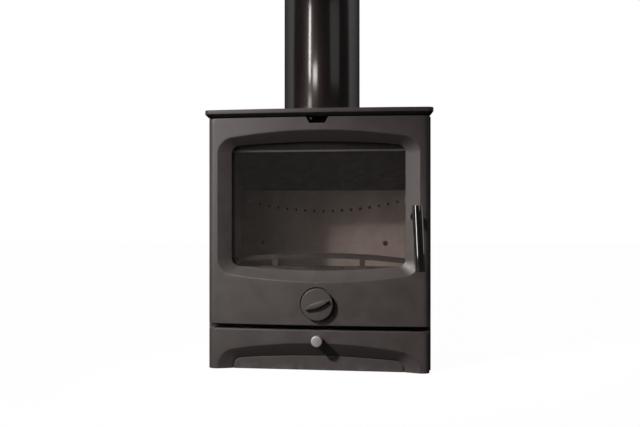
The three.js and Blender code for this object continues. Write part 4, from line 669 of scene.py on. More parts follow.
def doorway(half, top, drop, corner):
    """Open outline in X and Z that stands on the floor: right leg, arch, left leg."""
    upper = arch_half(half, top, drop, corner)
    right_foot, left_foot = (half, 0.0), (-half, 0.0)
    return [right_foot, *between(right_foot, upper[0]), *upper,
            *between(upper[-1], left_foot), left_foot]


# %% [markdown]
# ## The bowed face
# Door and plinth share one face: it bows out by 7.4 mm in the middle, turns back at each side
# in a big radius, and is barely eased at top and bottom. A function gives the face's depth
# at any place, so the rings of both castings can be laid on it.

# %% The bowed face
DOOR_HALF = door_high.x
BOW, SIDE_RADIUS, EASING = 7.4 * MM, 11.5 * MM, 1.2 * MM
BOW_RADIUS = (DOOR_HALF ** 2 + BOW ** 2) / (2 * BOW)


def bowed(x):
    """How far the face lies behind its middle at x."""
    return BOW_RADIUS - math.sqrt(BOW_RADIUS ** 2 - x ** 2)


def face_depth(x, z, low, high):
    """Y of the face at x, z for a casting that runs from low to high. One that stands on the
    floor isn't eased there."""
    ax, flat = abs(x), DOOR_HALF - SIDE_RADIUS
    y = FACE_Y + bowed(min(ax, flat))
    if ax > flat:
        y += SIDE_RADIUS - math.sqrt(max(0.0, SIDE_RADIUS ** 2 - (ax - flat) ** 2))
    edge = min(z - low, high - z) if low > 0 else high - z
    if edge < EASING:
        y += EASING - math.sqrt(max(0.0, EASING ** 2 - (EASING - edge) ** 2))
    return y


SIDE_INSETS = [0, 0.12, 0.5, 1.2, 2.3, 3.8, 5.8, 8.4, 11.5]
TOP_INSETS = [0, 0.03, 0.12, 0.3, 0.6, 0.9, 1.2, 2.4, 4.0]


def fillet_rings(outer, inner, outer_ring, radius):
    """Five rings that round the crease where the ring before `outer`, `outer` and
    `inner` meet; each is a list of points."""
    rings = []
    for t in (0.0, 0.25, 0.5, 0.75, 1.0):
        ring = []
        for before, at, after in zip(outer_ring, outer, inner):
            a = at + (before - at).normalized() * radius
            c = at + (after - at).normalized() * radius
            ring.append((1 - t) ** 2 * a + 2 * t * (1 - t) * at + t ** 2 * c)
        rings.append(ring)
    return rings


print("bow radius in mm:", round(BOW_RADIUS / MM))

# %% [markdown]
# ## The door casting
# The real door is one iron casting: a bowed front with a deep chamfered recess round the
# window, a rim at the back, a pocket for the glass and a groove for the rope. It could be
# carved out of a block with booleans, but then the soft front would shade badly next to the
# cuts. Skinning ring after ring from the side edge, over the front, down the chamfer and
# round to the back keeps every crease supported. Booleans only make the notch, the dial's
# shallow pocket, the hinge pockets and the hidden holes.

# %% Door: rings over the front and down into the window
WINDOW = dict(half=158.5, top=417.6, top_drop=7.5, bottom=181.3, bottom_drop=9.0, corner=16.0)
RECESS = dict(half=183.5, top=437.6, top_drop=16.5, bottom=162.0, bottom_drop=15.6, corner=31.0)
RECESS_FLOOR_Y = FACE_Y + 18 * MM
LEDGE_Y = FACE_Y + 21 * MM
RECESS_FILLET, WINDOW_FILLET = 1.6 * MM, 0.9 * MM


def in_metres(line):
    return [(x * MM, z * MM) for x, z in line]


def door_rect(inset_x, inset_z):
    return opening(DOOR_HALF - inset_x, DOOR_TOP - inset_z, 0, DOOR_BOTTOM + inset_z, 0, 0.0)


def on_face(line, low, high):
    return [Vector((x, face_depth(x, z, low, high), z)) for x, z in line]


def at_depth(line, y):
    return [Vector((x, y, z)) for x, z in line]


def face_rings(rect, inner_line, shares, low, high):
    """Rings round the eased edge of a face, then some on the way to an inner outline, at the
    given shares of it."""
    lines = [rect(a * MM, b * MM) for a, b in zip(SIDE_INSETS, TOP_INSETS)]
    last = lines[-1]
    for t in shares:
        lines.append([
            tuple(p + (q - p) * t for p, q in zip(a, b)) for a, b in zip(last, inner_line)])
    return [on_face(line, low, high) for line in lines]


window_line = in_metres(opening(**WINDOW))
recess_line = in_metres(opening(**RECESS))
front_rings = face_rings(door_rect, recess_line, (0.3, 0.6, 0.85), DOOR_BOTTOM, DOOR_TOP)
recess_edge = on_face(recess_line, DOOR_BOTTOM, DOOR_TOP)
window_edge = at_depth(window_line, RECESS_FLOOR_Y)
ledge_edge = at_depth(window_line, LEDGE_Y)
recess_rings = fillet_rings(recess_edge, window_edge, front_rings[-1], RECESS_FILLET)
window_rings = fillet_rings(window_edge, ledge_edge, recess_edge, WINDOW_FILLET)
print("rings over the front:", len(front_rings) + len(recess_rings) + len(window_rings))

# %% Door: rings round the back
GROOVE = dict(half=185.8, low=91.1, high=445.0, corner=14.0)
POCKET = dict(half=178.8, low=105.1, high=439.6, corner=2.5)
GROOVE_HALF_WIDTH, GROOVE_DEPTH = 4.3, 4.3 * MM
BACK_EASING = 0.6 * MM


def back_line(half, low, high, corner, grow=0.0):
    """A plain outline on the door's back, from sizes in mm, grown all round."""
    return opening(
        (half + grow) * MM, (high + grow) * MM, 0, (low - grow) * MM, 0, (corner + grow) * MM)


groove_outer = back_line(**GROOVE, grow=GROOVE_HALF_WIDTH)
groove_inner = back_line(**GROOVE, grow=-GROOVE_HALF_WIDTH)
pocket = back_line(**POCKET)
back_rings = [
    at_depth(pocket, LEDGE_Y), at_depth(pocket, DOOR_BACK),
    at_depth(groove_inner, DOOR_BACK), at_depth(groove_inner, DOOR_BACK - GROOVE_DEPTH),
    at_depth(groove_outer, DOOR_BACK - GROOVE_DEPTH), at_depth(groove_outer, DOOR_BACK),
    at_depth(door_rect(BACK_EASING, BACK_EASING), DOOR_BACK),
    at_depth(door_rect(0, 0), DOOR_BACK - BACK_EASING),
]
bm, _ = skin_rings(
    front_rings + recess_rings + window_rings + [ledge_edge] + back_rings, loop=True)
door_mesh = mesh_of(outward(bm))
print("door skin faces:", len(door_mesh.polygons))

# %% [markdown]
# ### What is cut into the door
# The notch over the window lets the peg of the airwash slider through. A shallow round
# pocket takes the dial, and two at the hinge side take the brackets, with knuckles cast
# beside them. A boss carries the handle's spindle, and four ports behind the dial let air in.

# %% Door: notch, hinges, boss and ports
HINGE_X, HINGE_Y = -196.8 * MM, -118.35 * MM
KNUCKLE_R, PIN_BORE_R = 5.5 * MM, 3.2 * MM
KNUCKLE_START, KNUCKLE_END = 18 * MM, 48 * MM
ROOM_OUT, ROOM_IN, ROOM_DEEP = 5.5 * MM, 8 * MM, 14 * MM
DIAL_POCKET, DIAL_POCKET_R = 3.5 * MM, 31 * MM
DIAL_TURN = 20.9
PORTS, PORT_R, PORT_CIRCLE = 4, 6 * MM, 15 * MM
BOSS_R, SPINDLE_BORE_R, ROD_BORE_R = 7.5 * MM, 5.2 * MM, 4.2 * MM
IN_FRONT = FACE_Y - 9 * MM
valve_low, valve_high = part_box("air_valve_plate")
DIAL_Z = (valve_low.z + valve_high.z) / 2
VALVE_ROOM_R = (valve_high.x - valve_low.x) / 2 + 2 * MM
spindle_low, spindle_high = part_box("handle_spindle")
HANDLE_X = (spindle_low.x + spindle_high.x) / 2
HANDLE_Z = (spindle_low.z + spindle_high.z) / 2


def rod_y(radius, y0, y1, x, z, segments=48):
    return turned([(radius, -y1), (radius, -y0)], (x, 0, z), "y", segments)


def rod_z(radius, z0, z1, x, y, segments=48):
    return turned([(radius, z0), (radius, z1)], (x, y, 0), "z", segments)


def notch_tool():
    """Sloping sides with rounded lower corners, run through the whole door."""
    top, bottom, deep, r = 20.2, 14.5, 11.6, 3.2
    slope, steps, corner_x = 0.3, 8, bottom - r + 0.9
    points = [(top * 1.02, 1.0), (top, 0.0)]
    for i in range(steps + 1):
        a = -slope - (math.pi / 2 - slope) * i / steps
        points.append((corner_x + r * math.cos(a), -deep + r + r * math.sin(a)))
    points += [(-x, z) for x, z in reversed(points)]
    rings = [[Vector((x * MM, y, DOOR_TOP + z * MM)) for x, z in points]
             for y in (FACE_Y - 5 * MM, DOOR_BACK + 5 * MM)]
    return mesh_of(outward(capped(skin_rings(rings)[0])))


tools = [notch_tool(), rod_y(VALVE_ROOM_R, FACE_Y + 8 * MM, DOOR_BACK + MM, 0, DIAL_Z, 96),
         rod_y(DIAL_POCKET_R, IN_FRONT, FACE_Y + DIAL_POCKET, 0, DIAL_Z, 144)]
knuckles, bores = [], []
for end, inward in ((DOOR_BOTTOM, 1), (DOOR_TOP, -1)):
    low, high = sorted((end - inward * MM, end + inward * KNUCKLE_START))
    tools.append(boxed(
        (HINGE_X - ROOM_OUT, DOOR_BACK - ROOM_DEEP, low),
        (HINGE_X + ROOM_IN, DOOR_BACK + MM, high)))
    low, high = sorted((end + inward * KNUCKLE_START, end + inward * KNUCKLE_END))
    knuckles.append(rod_z(KNUCKLE_R, low, high, HINGE_X, HINGE_Y))
    bores.append(rod_z(PIN_BORE_R, low - MM, high + MM, HINGE_X, HINGE_Y))
boss = rod_y(BOSS_R, LEDGE_Y - MM, DOOR_BACK, HANDLE_X, HANDLE_Z)
for i in range(PORTS):
    a = math.radians(DIAL_TURN + 360 / PORTS * i)
    bores.append(rod_y(
        PORT_R, IN_FRONT, FACE_Y + 9 * MM,
        PORT_CIRCLE * math.cos(a), DIAL_Z + PORT_CIRCLE * math.sin(a)))
bores.append(rod_y(ROD_BORE_R, IN_FRONT, DOOR_BACK, 0, DIAL_Z))
bores.append(rod_y(SPINDLE_BORE_R, IN_FRONT, DOOR_BACK + 5 * MM, HANDLE_X, HANDLE_Z))
door_mesh = carve(carve(door_mesh, tools), knuckles + [boss], "UNION")
door_mesh = carve(door_mesh, bores)
door_casting = finish_piece(
    "door_casting", door_mesh, "door", stove_paint, ["door"])
print("door faces:", len(door_casting.data.polygons))

# %% [markdown]
# ## The plinth front
# The plinth carries the same bowed face on down to the floor, with a wide arched recess that
# makes it look lighter, and a fine groove where the recess's slope meets its flat panel. It
# is skinned in open rings that stand on the floor, then its back and its underside are
# filled.

# %% Plinth: rings, back and underside
PLINTH_TOP, PLINTH_BACK = plinth_high.z, plinth_high.y
KNOB_Z = 57.4 * MM
SIDE_WALL, TOP_WALL = 9 * MM, 6 * MM
PANEL_Y, PANEL_GROOVE = FACE_Y + 15 * MM, 2.5 * MM
ARCH_FILLET, GROOVE_FILLET, PANEL_FILLET = 1.4 * MM, 0.4 * MM, 0.5 * MM
INSIDE_X, INSIDE_Z = 0.96, 0.85
arch_line = in_metres(doorway(half=183.3, top=51.3, drop=19.0, corner=35.0))
panel_line = in_metres(doorway(half=156.8, top=27.8, drop=7.5, corner=17.0))
panel_edge_line = in_metres(doorway(half=154.9, top=25.9, drop=7.5, corner=15.1))


def plinth_rect(inset_x, inset_z):
    return doorway(DOOR_HALF - inset_x, PLINTH_TOP - inset_z, 0, 0)


rings = [at_depth(plinth_rect(0, 0), PLINTH_BACK)]
rings += face_rings(plinth_rect, arch_line, (0.35, 0.7), 0, PLINTH_TOP)
arch_edge = on_face(arch_line, 0, PLINTH_TOP)
chamfer_foot = at_depth(panel_line, PANEL_Y)
groove_outer = at_depth(panel_line, PANEL_Y + PANEL_GROOVE)
groove_inner = at_depth(panel_edge_line, PANEL_Y + PANEL_GROOVE)
panel_edge = at_depth(panel_edge_line, PANEL_Y)
panel_inside = at_depth([(x * INSIDE_X, z * INSIDE_Z) for x, z in panel_line], PANEL_Y)
panel_foot = at_depth([(x * INSIDE_X, 0.0) for x, z in panel_line], PANEL_Y)
rings += fillet_rings(arch_edge, chamfer_foot, rings[-1], ARCH_FILLET)
rings += fillet_rings(chamfer_foot, groove_outer, arch_edge, GROOVE_FILLET)
rings += [groove_outer, groove_inner]
rings += fillet_rings(panel_edge, panel_inside, groove_inner, PANEL_FILLET)
rings += [panel_inside, panel_foot]
bm, made = skin_rings(rings, closed=False)
bm.faces.new(made[0])
bmesh.ops.remove_doubles(bm, verts=bm.verts, dist=DOUBLED)
plinth_mesh = carve(mesh_of(outward(capped(bm))), [
    boxed((-DOOR_HALF + SIDE_WALL, LEDGE_Y, -MM),
          (DOOR_HALF - SIDE_WALL, PLINTH_BACK + MM, PLINTH_TOP - TOP_WALL)),
    rod_y(ROD_BORE_R, FACE_Y - 5 * MM, PLINTH_BACK + MM, 0, KNOB_Z)])
plinth = finish_piece(
    "plinth_casting", plinth_mesh, "stove_body", stove_paint, ["plinth_front"])
print("plinth faces:", len(plinth.data.polygons))

# %% [markdown]
# ## The top plate
# The top is one thick plate whose edge follows the bow. Its underside is chamfered, so that
# it reads as a thin line of light over the dark door. Its outline in plan is repeated at a
# few heights, with small insets for the chamfer and the eased edges, and the flue hole is
# the last set of rings.

# %% Top plate
PLATE_HALF, PLATE_FRONT, PLATE_BACK = plate_high.x, plate_low.y, plate_high.y
PLATE_UNDER, PLATE_TOP = plate_low.z, plate_high.z
PLATE_CORNER, CORNER_POINTS, BOW_POINTS = 12 * MM, 16, 80
SIDE_POINTS, BACK_POINTS = 24, 30
CHAMFER, CREASE = 5.7 * MM, 0.9 * MM
BORE = PIPE_R - 7.3 * MM


def plan(inset):
    """Outline in X and Y with a bowed front and round corners."""
    half, r = PLATE_HALF - inset, PLATE_CORNER - inset
    front, back = PLATE_FRONT + inset, PLATE_BACK - inset
    flat = half - r

    def corner(cx, cy, start):
        return [(cx + r * math.cos(a), cy + r * math.sin(a)) for a in (
            math.radians(start + 90 * i / CORNER_POINTS) for i in range(CORNER_POINTS + 1))]

    cy = front + bowed(flat) + r
    points = corner(-flat, cy, 180)
    for i in range(1, BOW_POINTS):
        x = -flat + 2 * flat * i / BOW_POINTS
        points.append((x, front + bowed(x)))
    points += corner(flat, cy, 270)
    points += between(points[-1], (half, back - r), SIDE_POINTS)
    points += corner(flat, back - r, 0)
    points += between(points[-1], (-flat, back), BACK_POINTS)
    points += corner(-flat, back - r, 90)
    points += between(points[-1], points[0], SIDE_POINTS)
    return points


def eased_levels(steps=6):
    """(height, inset) pairs from the underside up: chamfer, soft crease, edge, eased top."""
    low, mid, top = PLATE_UNDER, PLATE_UNDER + CHAMFER, PLATE_TOP
    yield low, CHAMFER + 0.4 * MM
    yield low + 0.12 * MM, CHAMFER
    yield mid - CREASE, CREASE
    for t in (0.25, 0.5, 0.75):
        yield mid - CREASE * (1 - t) ** 2 + CREASE * t ** 2, CREASE * (1 - t) ** 2
    yield mid + CREASE, 0
    for i in range(steps + 1):
        a = math.pi / 2 * i / steps
        yield top - EASING + EASING * math.sin(a), EASING - EASING * math.cos(a)
    yield top, 4 * MM


rings = [[Vector((x, y, z)) for x, y in plan(inset)] for z, inset in eased_levels()]
for z, radius in ((PLATE_TOP, BORE + MM), (PLATE_TOP - MM, BORE),
                  (PLATE_UNDER + MM, BORE), (PLATE_UNDER, BORE + MM)):
    ways = [Vector((p.x - PIPE_X, p.y - PIPE_Y)).normalized() * radius for p in rings[0]]
    rings.append([Vector((PIPE_X + d.x, PIPE_Y + d.y, z)) for d in ways])
bm, _ = skin_rings(rings, loop=True)
top = finish_piece(
    "top_plate_casting", mesh_of(outward(bm)), "stove_body", plate_paint,
    ["top_plate"])
print("top plate faces:", len(top.data.polygons))

# %% [markdown]
# ## The flue pipe, with Geometry Nodes
# The pipe is a strip of sheet rolled round a circle, and that is how the tree makes it: the
# cross-section of the wall is a rounded rectangle, swept round a circular path. Changing an
# input gives any other size of pipe.

# %% Helpers: start a geometry tree, run it
def new_tree(name, inputs):
    tree = bpy.data.node_groups.new(name, "GeometryNodeTree")
    tree.interface.new_socket("Geometry", in_out="INPUT", socket_type="NodeSocketGeometry")
    for label, kind, value in inputs:
        socket = tree.interface.new_socket(label, in_out="INPUT", socket_type=kind)
        if value is not None:
            socket.default_value = value
    tree.interface.new_socket("Geometry", in_out="OUTPUT", socket_type="NodeSocketGeometry")
    return tree, tree.nodes.new("NodeGroupInput"), tree.nodes.new("NodeGroupOutput")


def add_node(tree, kind, settings=None, *values, **inputs):
    """A node with its settings, and its inputs in order or by label."""
    node = tree.nodes.new(kind)
    for key, value in (settings or {}).items():
        setattr(node, key, value)
    for socket, value in zip(node.inputs, values):
        set_socket(socket, value)
    set_inputs(node, **inputs)
    return node


def finish_tree(tree, gout, geometry, material):
    """Realize Instances and Set Material close every tree."""
    real = add_node(tree, "GeometryNodeRealizeInstances", Geometry=geometry)
    dressed = add_node(
        tree, "GeometryNodeSetMaterial", Geometry=real.outputs[0], Material=material)
    tree.links.new(dressed.outputs[0], gout.inputs[0])


def run_tree(tree, start=None, **values):
    """Runs the tree on a mesh (or on nothing) and returns the plain result."""
    thing = link("work", start or bpy.data.meshes.new("work"))
    modifier = thing.modifiers.new("tree", "NODES")
    modifier.node_group = tree
    for item in tree.interface.items_tree:
        label = item.name.replace(" ", "_")
        if item.in_out == "INPUT" and label in values:
            modifier[item.identifier] = values[label]
    return plain_mesh(thing)


# %% Flue pipe
PIPE_WALL = 2 * MM
pipe_tree, gin, gout = new_tree("rolled pipe", [
    ("Middle Radius", "NodeSocketFloat", 0.0755), ("Wall", "NodeSocketFloat", 0.002),
    ("Length", "NodeSocketFloat", 0.265), ("Edge Round", "NodeSocketFloat", 0.0006),
    ("Steps", "NodeSocketInt", 160)])
path = add_node(
    pipe_tree, "GeometryNodeCurvePrimitiveCircle",
    Resolution=gin.outputs["Steps"], Radius=gin.outputs["Middle Radius"])
section = add_node(
    pipe_tree, "GeometryNodeCurvePrimitiveQuadrilateral",
    Width=gin.outputs["Wall"], Height=gin.outputs["Length"])
rounded = add_node(
    pipe_tree, "GeometryNodeFilletCurve", Curve=section.outputs[0],
    Radius=gin.outputs["Edge Round"])
if "Mode" in rounded.inputs:
    rounded.inputs["Mode"].default_value = "Poly"
else:
    rounded.mode = "POLY"
rounded.inputs["Count"].default_value = 3
upright_path = add_node(
    pipe_tree, "GeometryNodeSetCurveNormal", {"mode": "Z_UP"}, Curve=path.outputs[0])
swept = add_node(
    pipe_tree, "GeometryNodeCurveToMesh", Curve=upright_path.outputs[0],
    Profile_Curve=rounded.outputs[0])
finish_tree(pipe_tree, gout, swept.outputs[0], enamel)
pipe_mesh = run_tree(
    pipe_tree, Middle_Radius=PIPE_R - PIPE_WALL / 2, Wall=PIPE_WALL,
    Length=pipe_high.z - pipe_low.z)
pipe_mesh.transform(Matrix.Translation((PIPE_X, PIPE_Y, (pipe_low.z + pipe_high.z) / 2)))
spans = np.array([v.co for v in pipe_mesh.vertices])
print("pipe spans", spans.min(0).round(4), spans.max(0).round(4), "faces", len(pipe_mesh.polygons))
finish_piece(
    "flue_pipe_rolled", pipe_mesh, "stove_body", enamel, ["flue_pipe"])

# %% [markdown]
# ## Turned parts
# The spigot, the handle bar, the hub, the dial and the knob were all made on a lathe, or
# could have been. Each is a profile turned about its axis, with small radii where a turning
# tool or a file would leave them.

# %% Helper: a profile with rounded corners
def rounded_profile(points, steps=4):
    """(radius, height, round) triples to (radius, height) pairs with round corners."""
    made = []
    for i, (r, h, round_off) in enumerate(points):
        here = Vector((r, h))
        if round_off <= 0 or i in (0, len(points) - 1):
            made.append((r, h))
            continue
        before, after = Vector(points[i - 1][:2]), Vector(points[i + 1][:2])
        a = here + (before - here).normalized() * round_off
        c = here + (after - here).normalized() * round_off
        for k in range(steps + 1):
            t = k / steps
            p = (1 - t) ** 2 * a + 2 * t * (1 - t) * here + t ** 2 * c
            made.append((p.x, p.y))
    return made


# %% Flue spigot
NECK_R, SPIGOT_STEPS = PIPE_R - 2.3 * MM, 144
FLANGE, SCREW_HOLE_R, SCREW_CIRCLE = 8 * MM, 2.8 * MM, PIPE_R + 7.75 * MM
spigot_low, spigot_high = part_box("flue_spigot")
z0, z1, outer_r = spigot_low.z, spigot_high.z, spigot_high.x
spigot_profile = rounded_profile([
    (BORE, z0 + 20 * MM, 0), (BORE, z0, 0.6 * MM), (outer_r, z0, 0.6 * MM),
    (outer_r, z0 + FLANGE, 2 * MM), (NECK_R, z0 + FLANGE, 1.0 * MM), (NECK_R, z1, 0.6 * MM),
    (BORE, z1, 0.6 * MM), (BORE, z0 + 20 * MM, 0)])
rings = []
for radius, height in spigot_profile[:-1]:
    rings.append([Vector((
        PIPE_X + radius * math.cos(2 * math.pi * i / SPIGOT_STEPS),
        PIPE_Y + radius * math.sin(2 * math.pi * i / SPIGOT_STEPS), height))
        for i in range(SPIGOT_STEPS)])
bm, _ = skin_rings(rings, loop=True)
bores = [
    rod_z(SCREW_HOLE_R, z0 - MM, z0 + FLANGE + MM,
          PIPE_X + SCREW_CIRCLE * math.cos(math.radians(a)),
          PIPE_Y + SCREW_CIRCLE * math.sin(math.radians(a)), 24)
    for a in (90, 210, 330)]
spigot = finish_piece(
    "spigot_turned", carve(mesh_of(outward(bm)), bores), "stove_body", iron,
    ["flue_spigot"])
print("spigot faces:", len(spigot.data.polygons))

# %% [markdown]
# ## The handle
# A heavy chromed bar stands clear of the door on a short dark hub. It leans a little, as it
# does on the real stove, so the bar is turned about its own axis first and then tilted into
# place in its mesh, while the object itself stays unturned.

# %% Handle bar and hub
BAR_R, BAR_LENGTH, BAR_ABOVE = 9.3 * MM, 115.7 * MM, 19 * MM
BAR_LEAN, BAR_ASIDE = math.radians(-2.6), 3.6 * MM
HUB_R, SPINDLE_R, HUB_CLEARANCE = 8 * MM, 5 * MM, 1.6 * MM
AXIS = 0.0001
BAR_Y = FACE_Y - 37 * MM
bar_profile = rounded_profile([
    (AXIS, BAR_ABOVE - BAR_LENGTH, 0), (BAR_R, BAR_ABOVE - BAR_LENGTH, 1.1 * MM),
    (BAR_R, BAR_ABOVE, 1.1 * MM), (AXIS, BAR_ABOVE, 0)], 6)
bar_place = (Matrix.Translation((HANDLE_X, BAR_Y, HANDLE_Z))
             @ Matrix.Rotation(BAR_LEAN, 4, "Y") @ Matrix.Translation((BAR_ASIDE, 0, 0)))


def bar_solid(grow=0.0):
    profile = [(r + grow if r > AXIS else r, h) for r, h in bar_profile]
    mesh = turned(profile, (0, 0, 0), "z", 128)
    mesh.transform(bar_place)
    return mesh


bar = finish_piece(
    "handle_bar_turned", bar_solid(), "handle", chrome, ["handle_bar"])

hub_back = spindle_high.y
face_here = face_depth(HANDLE_X, HANDLE_Z, DOOR_BOTTOM, DOOR_TOP) - HUB_CLEARANCE
hub_profile = rounded_profile([
    (AXIS, -hub_back, 0), (SPINDLE_R, -hub_back, 0.5 * MM), (SPINDLE_R, -face_here, 0.3 * MM),
    (HUB_R, -face_here, 0.8 * MM), (HUB_R, -BAR_Y, 0.2 * MM), (AXIS, -BAR_Y, 0)])
hub_mesh = turned(hub_profile, (HANDLE_X, 0, HANDLE_Z), "y")
hub = finish_piece(
    "handle_hub_turned", carve(hub_mesh, [bar_solid(0.3 * MM)]), "handle", iron,
    ["handle_spindle"])
print("bar and hub:", len(bar.data.polygons), len(hub.data.polygons))

# %% [markdown]
# ## The air dial
# The dial is a thick round plate with a softly rounded rim, standing just proud of its
# pocket on a short hub, and a grip shaped like a lens stands across it. The plate is turned.
# The grip is skinned from the same lens at several heights, narrowing slightly as a casting
# must to leave its mould, and joined on.

# %% Air dial
DIAL_R, DIAL_THICK, DIAL_HUB_R = 28.8 * MM, 8.5 * MM, 9 * MM
DIAL_STAND, HUB_GAP = 3 * MM, 0.3 * MM
DIAL_BACK = FACE_Y - DIAL_STAND
HUB_FOOT = HUB_GAP - DIAL_POCKET - DIAL_STAND
TILT = math.radians(DIAL_TURN)
GRIP_LENGTH, GRIP_WIDTH = 45.8 * MM, 10.4 * MM
GRIP_LEVELS = ((-1, 0), (6.9, 0.2), (7.5, 0.3), (7.85, 0.5), (8, 0.8))
dial_profile = rounded_profile([
    (AXIS, HUB_FOOT, 0), (DIAL_HUB_R, HUB_FOOT, 0.4 * MM), (DIAL_HUB_R, 0, 0),
    (DIAL_R, 0, 1.0 * MM), (DIAL_R, DIAL_THICK, 1.5 * MM), (AXIS, DIAL_THICK, 0)], 5)
dial_mesh = turned([(r, h - DIAL_BACK) for r, h in dial_profile], (0, 0, DIAL_Z), "y", 144)


def lens(length, width, steps=24):
    """Two arcs that meet in blunt ends."""
    radius = (length ** 2 + width ** 2) / (4 * width)
    reach = math.asin(length / 2 / radius)
    points = []
    for side in (1, -1):
        for i in range(steps):
            a = -reach + 2 * reach * i / steps
            points.append((-side * radius * math.sin(a),
                           side * (radius * math.cos(a) - radius + width / 2)))
    return points


grip_rings = []
for over, shrink in GRIP_LEVELS:
    height = DIAL_THICK + over * MM
    ring = []
    for u, v in lens(GRIP_LENGTH - 2.2 * shrink * MM, GRIP_WIDTH - 2 * shrink * MM):
        x = u * math.cos(TILT) - v * math.sin(TILT)
        z = u * math.sin(TILT) + v * math.cos(TILT)
        ring.append(Vector((x, DIAL_BACK - height, DIAL_Z + z)))
    grip_rings.append(ring)
grip_mesh = mesh_of(outward(capped(skin_rings(grip_rings)[0])))
dial_mesh = carve(carve(dial_mesh, [grip_mesh], "UNION"), [
    rod_y(4.3 * MM, DIAL_BACK - 5 * MM, FACE_Y + 2 * DIAL_POCKET, 0, DIAL_Z)])
dial = finish_piece(
    "air_dial_casting", dial_mesh, "dial", stove_paint, ["air_dial"])
print("dial faces:", len(dial.data.polygons))

# %% [markdown]
# ## The lower air knob
# A short turned knob on a rod, satin plated, with its front edge broken by a small radius and
# its end very slightly crowned.

# %% Lower air knob
KNOB_BACK, KNOB_R, KNOB_LENGTH = FACE_Y - 7 * MM, 9.8 * MM, 14.5 * MM
KNOB_BORE_R, KNOB_BORE_END, CROWN = 4.3 * MM, 8.3 * MM, 0.25 * MM
knob_profile = rounded_profile([
    (KNOB_BORE_R, KNOB_BORE_END, 0), (KNOB_BORE_R, 0, 0.3 * MM), (KNOB_R, 0, 0.7 * MM),
    (KNOB_R, KNOB_LENGTH - CROWN, 1.0 * MM), (KNOB_R / 2, KNOB_LENGTH - CROWN / 5, 2 * MM),
    (AXIS, KNOB_LENGTH, 0)], 5)
knob_mesh = turned([(r, h - KNOB_BACK) for r, h in knob_profile], (0, 0, KNOB_Z), "y", 128)
knob = finish_piece(
    "lower_air_knob", knob_mesh, "lower_air", satin, ["control_knob"])
print("knob faces:", len(knob.data.polygons))

# %% [markdown]
# ## The window pane
# Stove glass has ground edges, so the pane is a softened copy of its solid.

# %% Window pane
pane = finish_piece(
    "window_pane", softened("door_glass", 0.5 * MM), "door", glass,
    ["door_glass"], sharp=None)
print("pane faces:", len(pane.data.polygons))

# %% [markdown]
# ## Softened panels and firebox pieces
# The remaining castings and pressings already have the right shapes. Each becomes a softened
# copy, with a radius that suits how it was made: larger for cast iron, small for folded
# sheet, and uneven board edges for the firebricks.

# %% Soften the panels and the firebox
SOFTENED = [
    ("right_side_panel", 1.5, stove_paint, "painted_iron"),
    ("left_side_panel", 1.5, stove_paint, "painted_iron"),
    ("back_panel", 0.8, stove_paint, "painted_iron"),
    ("base_plate", 0.8, iron, "raw_iron"),
    ("front_frame", 0.8, iron, "raw_iron"),
    ("outlet_cover", 0.5, stove_paint, "painted_iron"),
    ("rear_heat_shield", 0.4, stove_paint, "painted_iron"),
    ("grate", 1.2, iron, "raw_iron"),
    ("log_guard", 1.6, iron, "raw_iron"),
    ("baffle_plate", 1.0, burnt, "raw_iron"),
    ("airwash_deflector", 0.5, lip_highlit_sheet, "plain_steel"),
    ("back_liner", 0.7, brick, "firebrick"),
    ("right_firebrick", 1.2, brick, "firebrick"),
    ("left_firebrick", 1.2, brick, "firebrick"),
    ("rear_air_box", 0.5, iron, "raw_iron"),
    ("ash_pan", 0.5, steel, "plain_steel"),
    ("latch_keeper", 0.8, steel, "plain_steel"),
    ("lower_hinge_bracket", 0.6, iron, "raw_iron"),
    ("upper_hinge_bracket", 0.6, iron, "raw_iron"),
]
for node, width, finish, slot in SOFTENED:
    piece = finish_piece(
        node + "_softened", softened(node, width * MM), "stove_body", finish, [node], None)
    print(node, len(piece.data.polygons))

# %% Soften the moving small parts
MOVING = [
    ("latch_tongue", "handle", 0.8, steel, "plain_steel"),
    ("dial_spindle", "dial", 0.3, steel, "plain_steel"),
    ("air_valve_plate", "dial", 0.3, steel, "plain_steel"),
    ("airwash_slider", "airwash", 0.4, steel, "plain_steel"),
    ("control_rod", "lower_air", 0.3, steel, "plain_steel"),
    ("control_shutter", "lower_air", 0.4, steel, "plain_steel"),
    ("lower_left_glass_clip", "door", 0.4, steel, "plain_steel"),
    ("upper_left_glass_clip", "door", 0.4, steel, "plain_steel"),
    ("lower_right_glass_clip", "door", 0.4, steel, "plain_steel"),
    ("upper_right_glass_clip", "door", 0.4, steel, "plain_steel"),
]
for node, body, width, finish, slot in MOVING:
    finish_piece(
        node + "_softened", softened(node, width * MM), body, finish, [node], sharp=None)
print("small moving parts:", len(MOVING))

# %% [markdown]
# ## Screws, with Geometry Nodes
# The same button-headed screw turns up all over the stove. One head is modelled, and a tree
# sets it on every place: each point of a small mesh carries the direction its screw faces.
# The places are read from the solids' boxes, so a moved hole moves its screw.

# %% The screw and the places it goes
HEAD_HEIGHT, HEAD_SIDES = 3 * MM, 28


def screw_mesh(shank):
    """Button head above zero with a hexagon socket, shank below."""
    profile = rounded_profile([
        (AXIS, -shank, 0), (2.5 * MM, -shank, 0.4 * MM), (2.5 * MM, 0, 0),
        (5 * MM, 0, 0.3 * MM), (5 * MM, 1.3 * MM, 0.5 * MM), (3.4 * MM, 2.75 * MM, 1.2 * MM),
        (1.8 * MM, HEAD_HEIGHT, 0.5 * MM), (AXIS, HEAD_HEIGHT, 0)], 3)
    head = turned(profile, (0, 0, 0), "z", HEAD_SIDES)
    socket = turned([(1.7 * MM, 1.2 * MM), (1.7 * MM, HEAD_HEIGHT + MM)], (0, 0, 0), "z", 6)
    return carve(head, [socket])


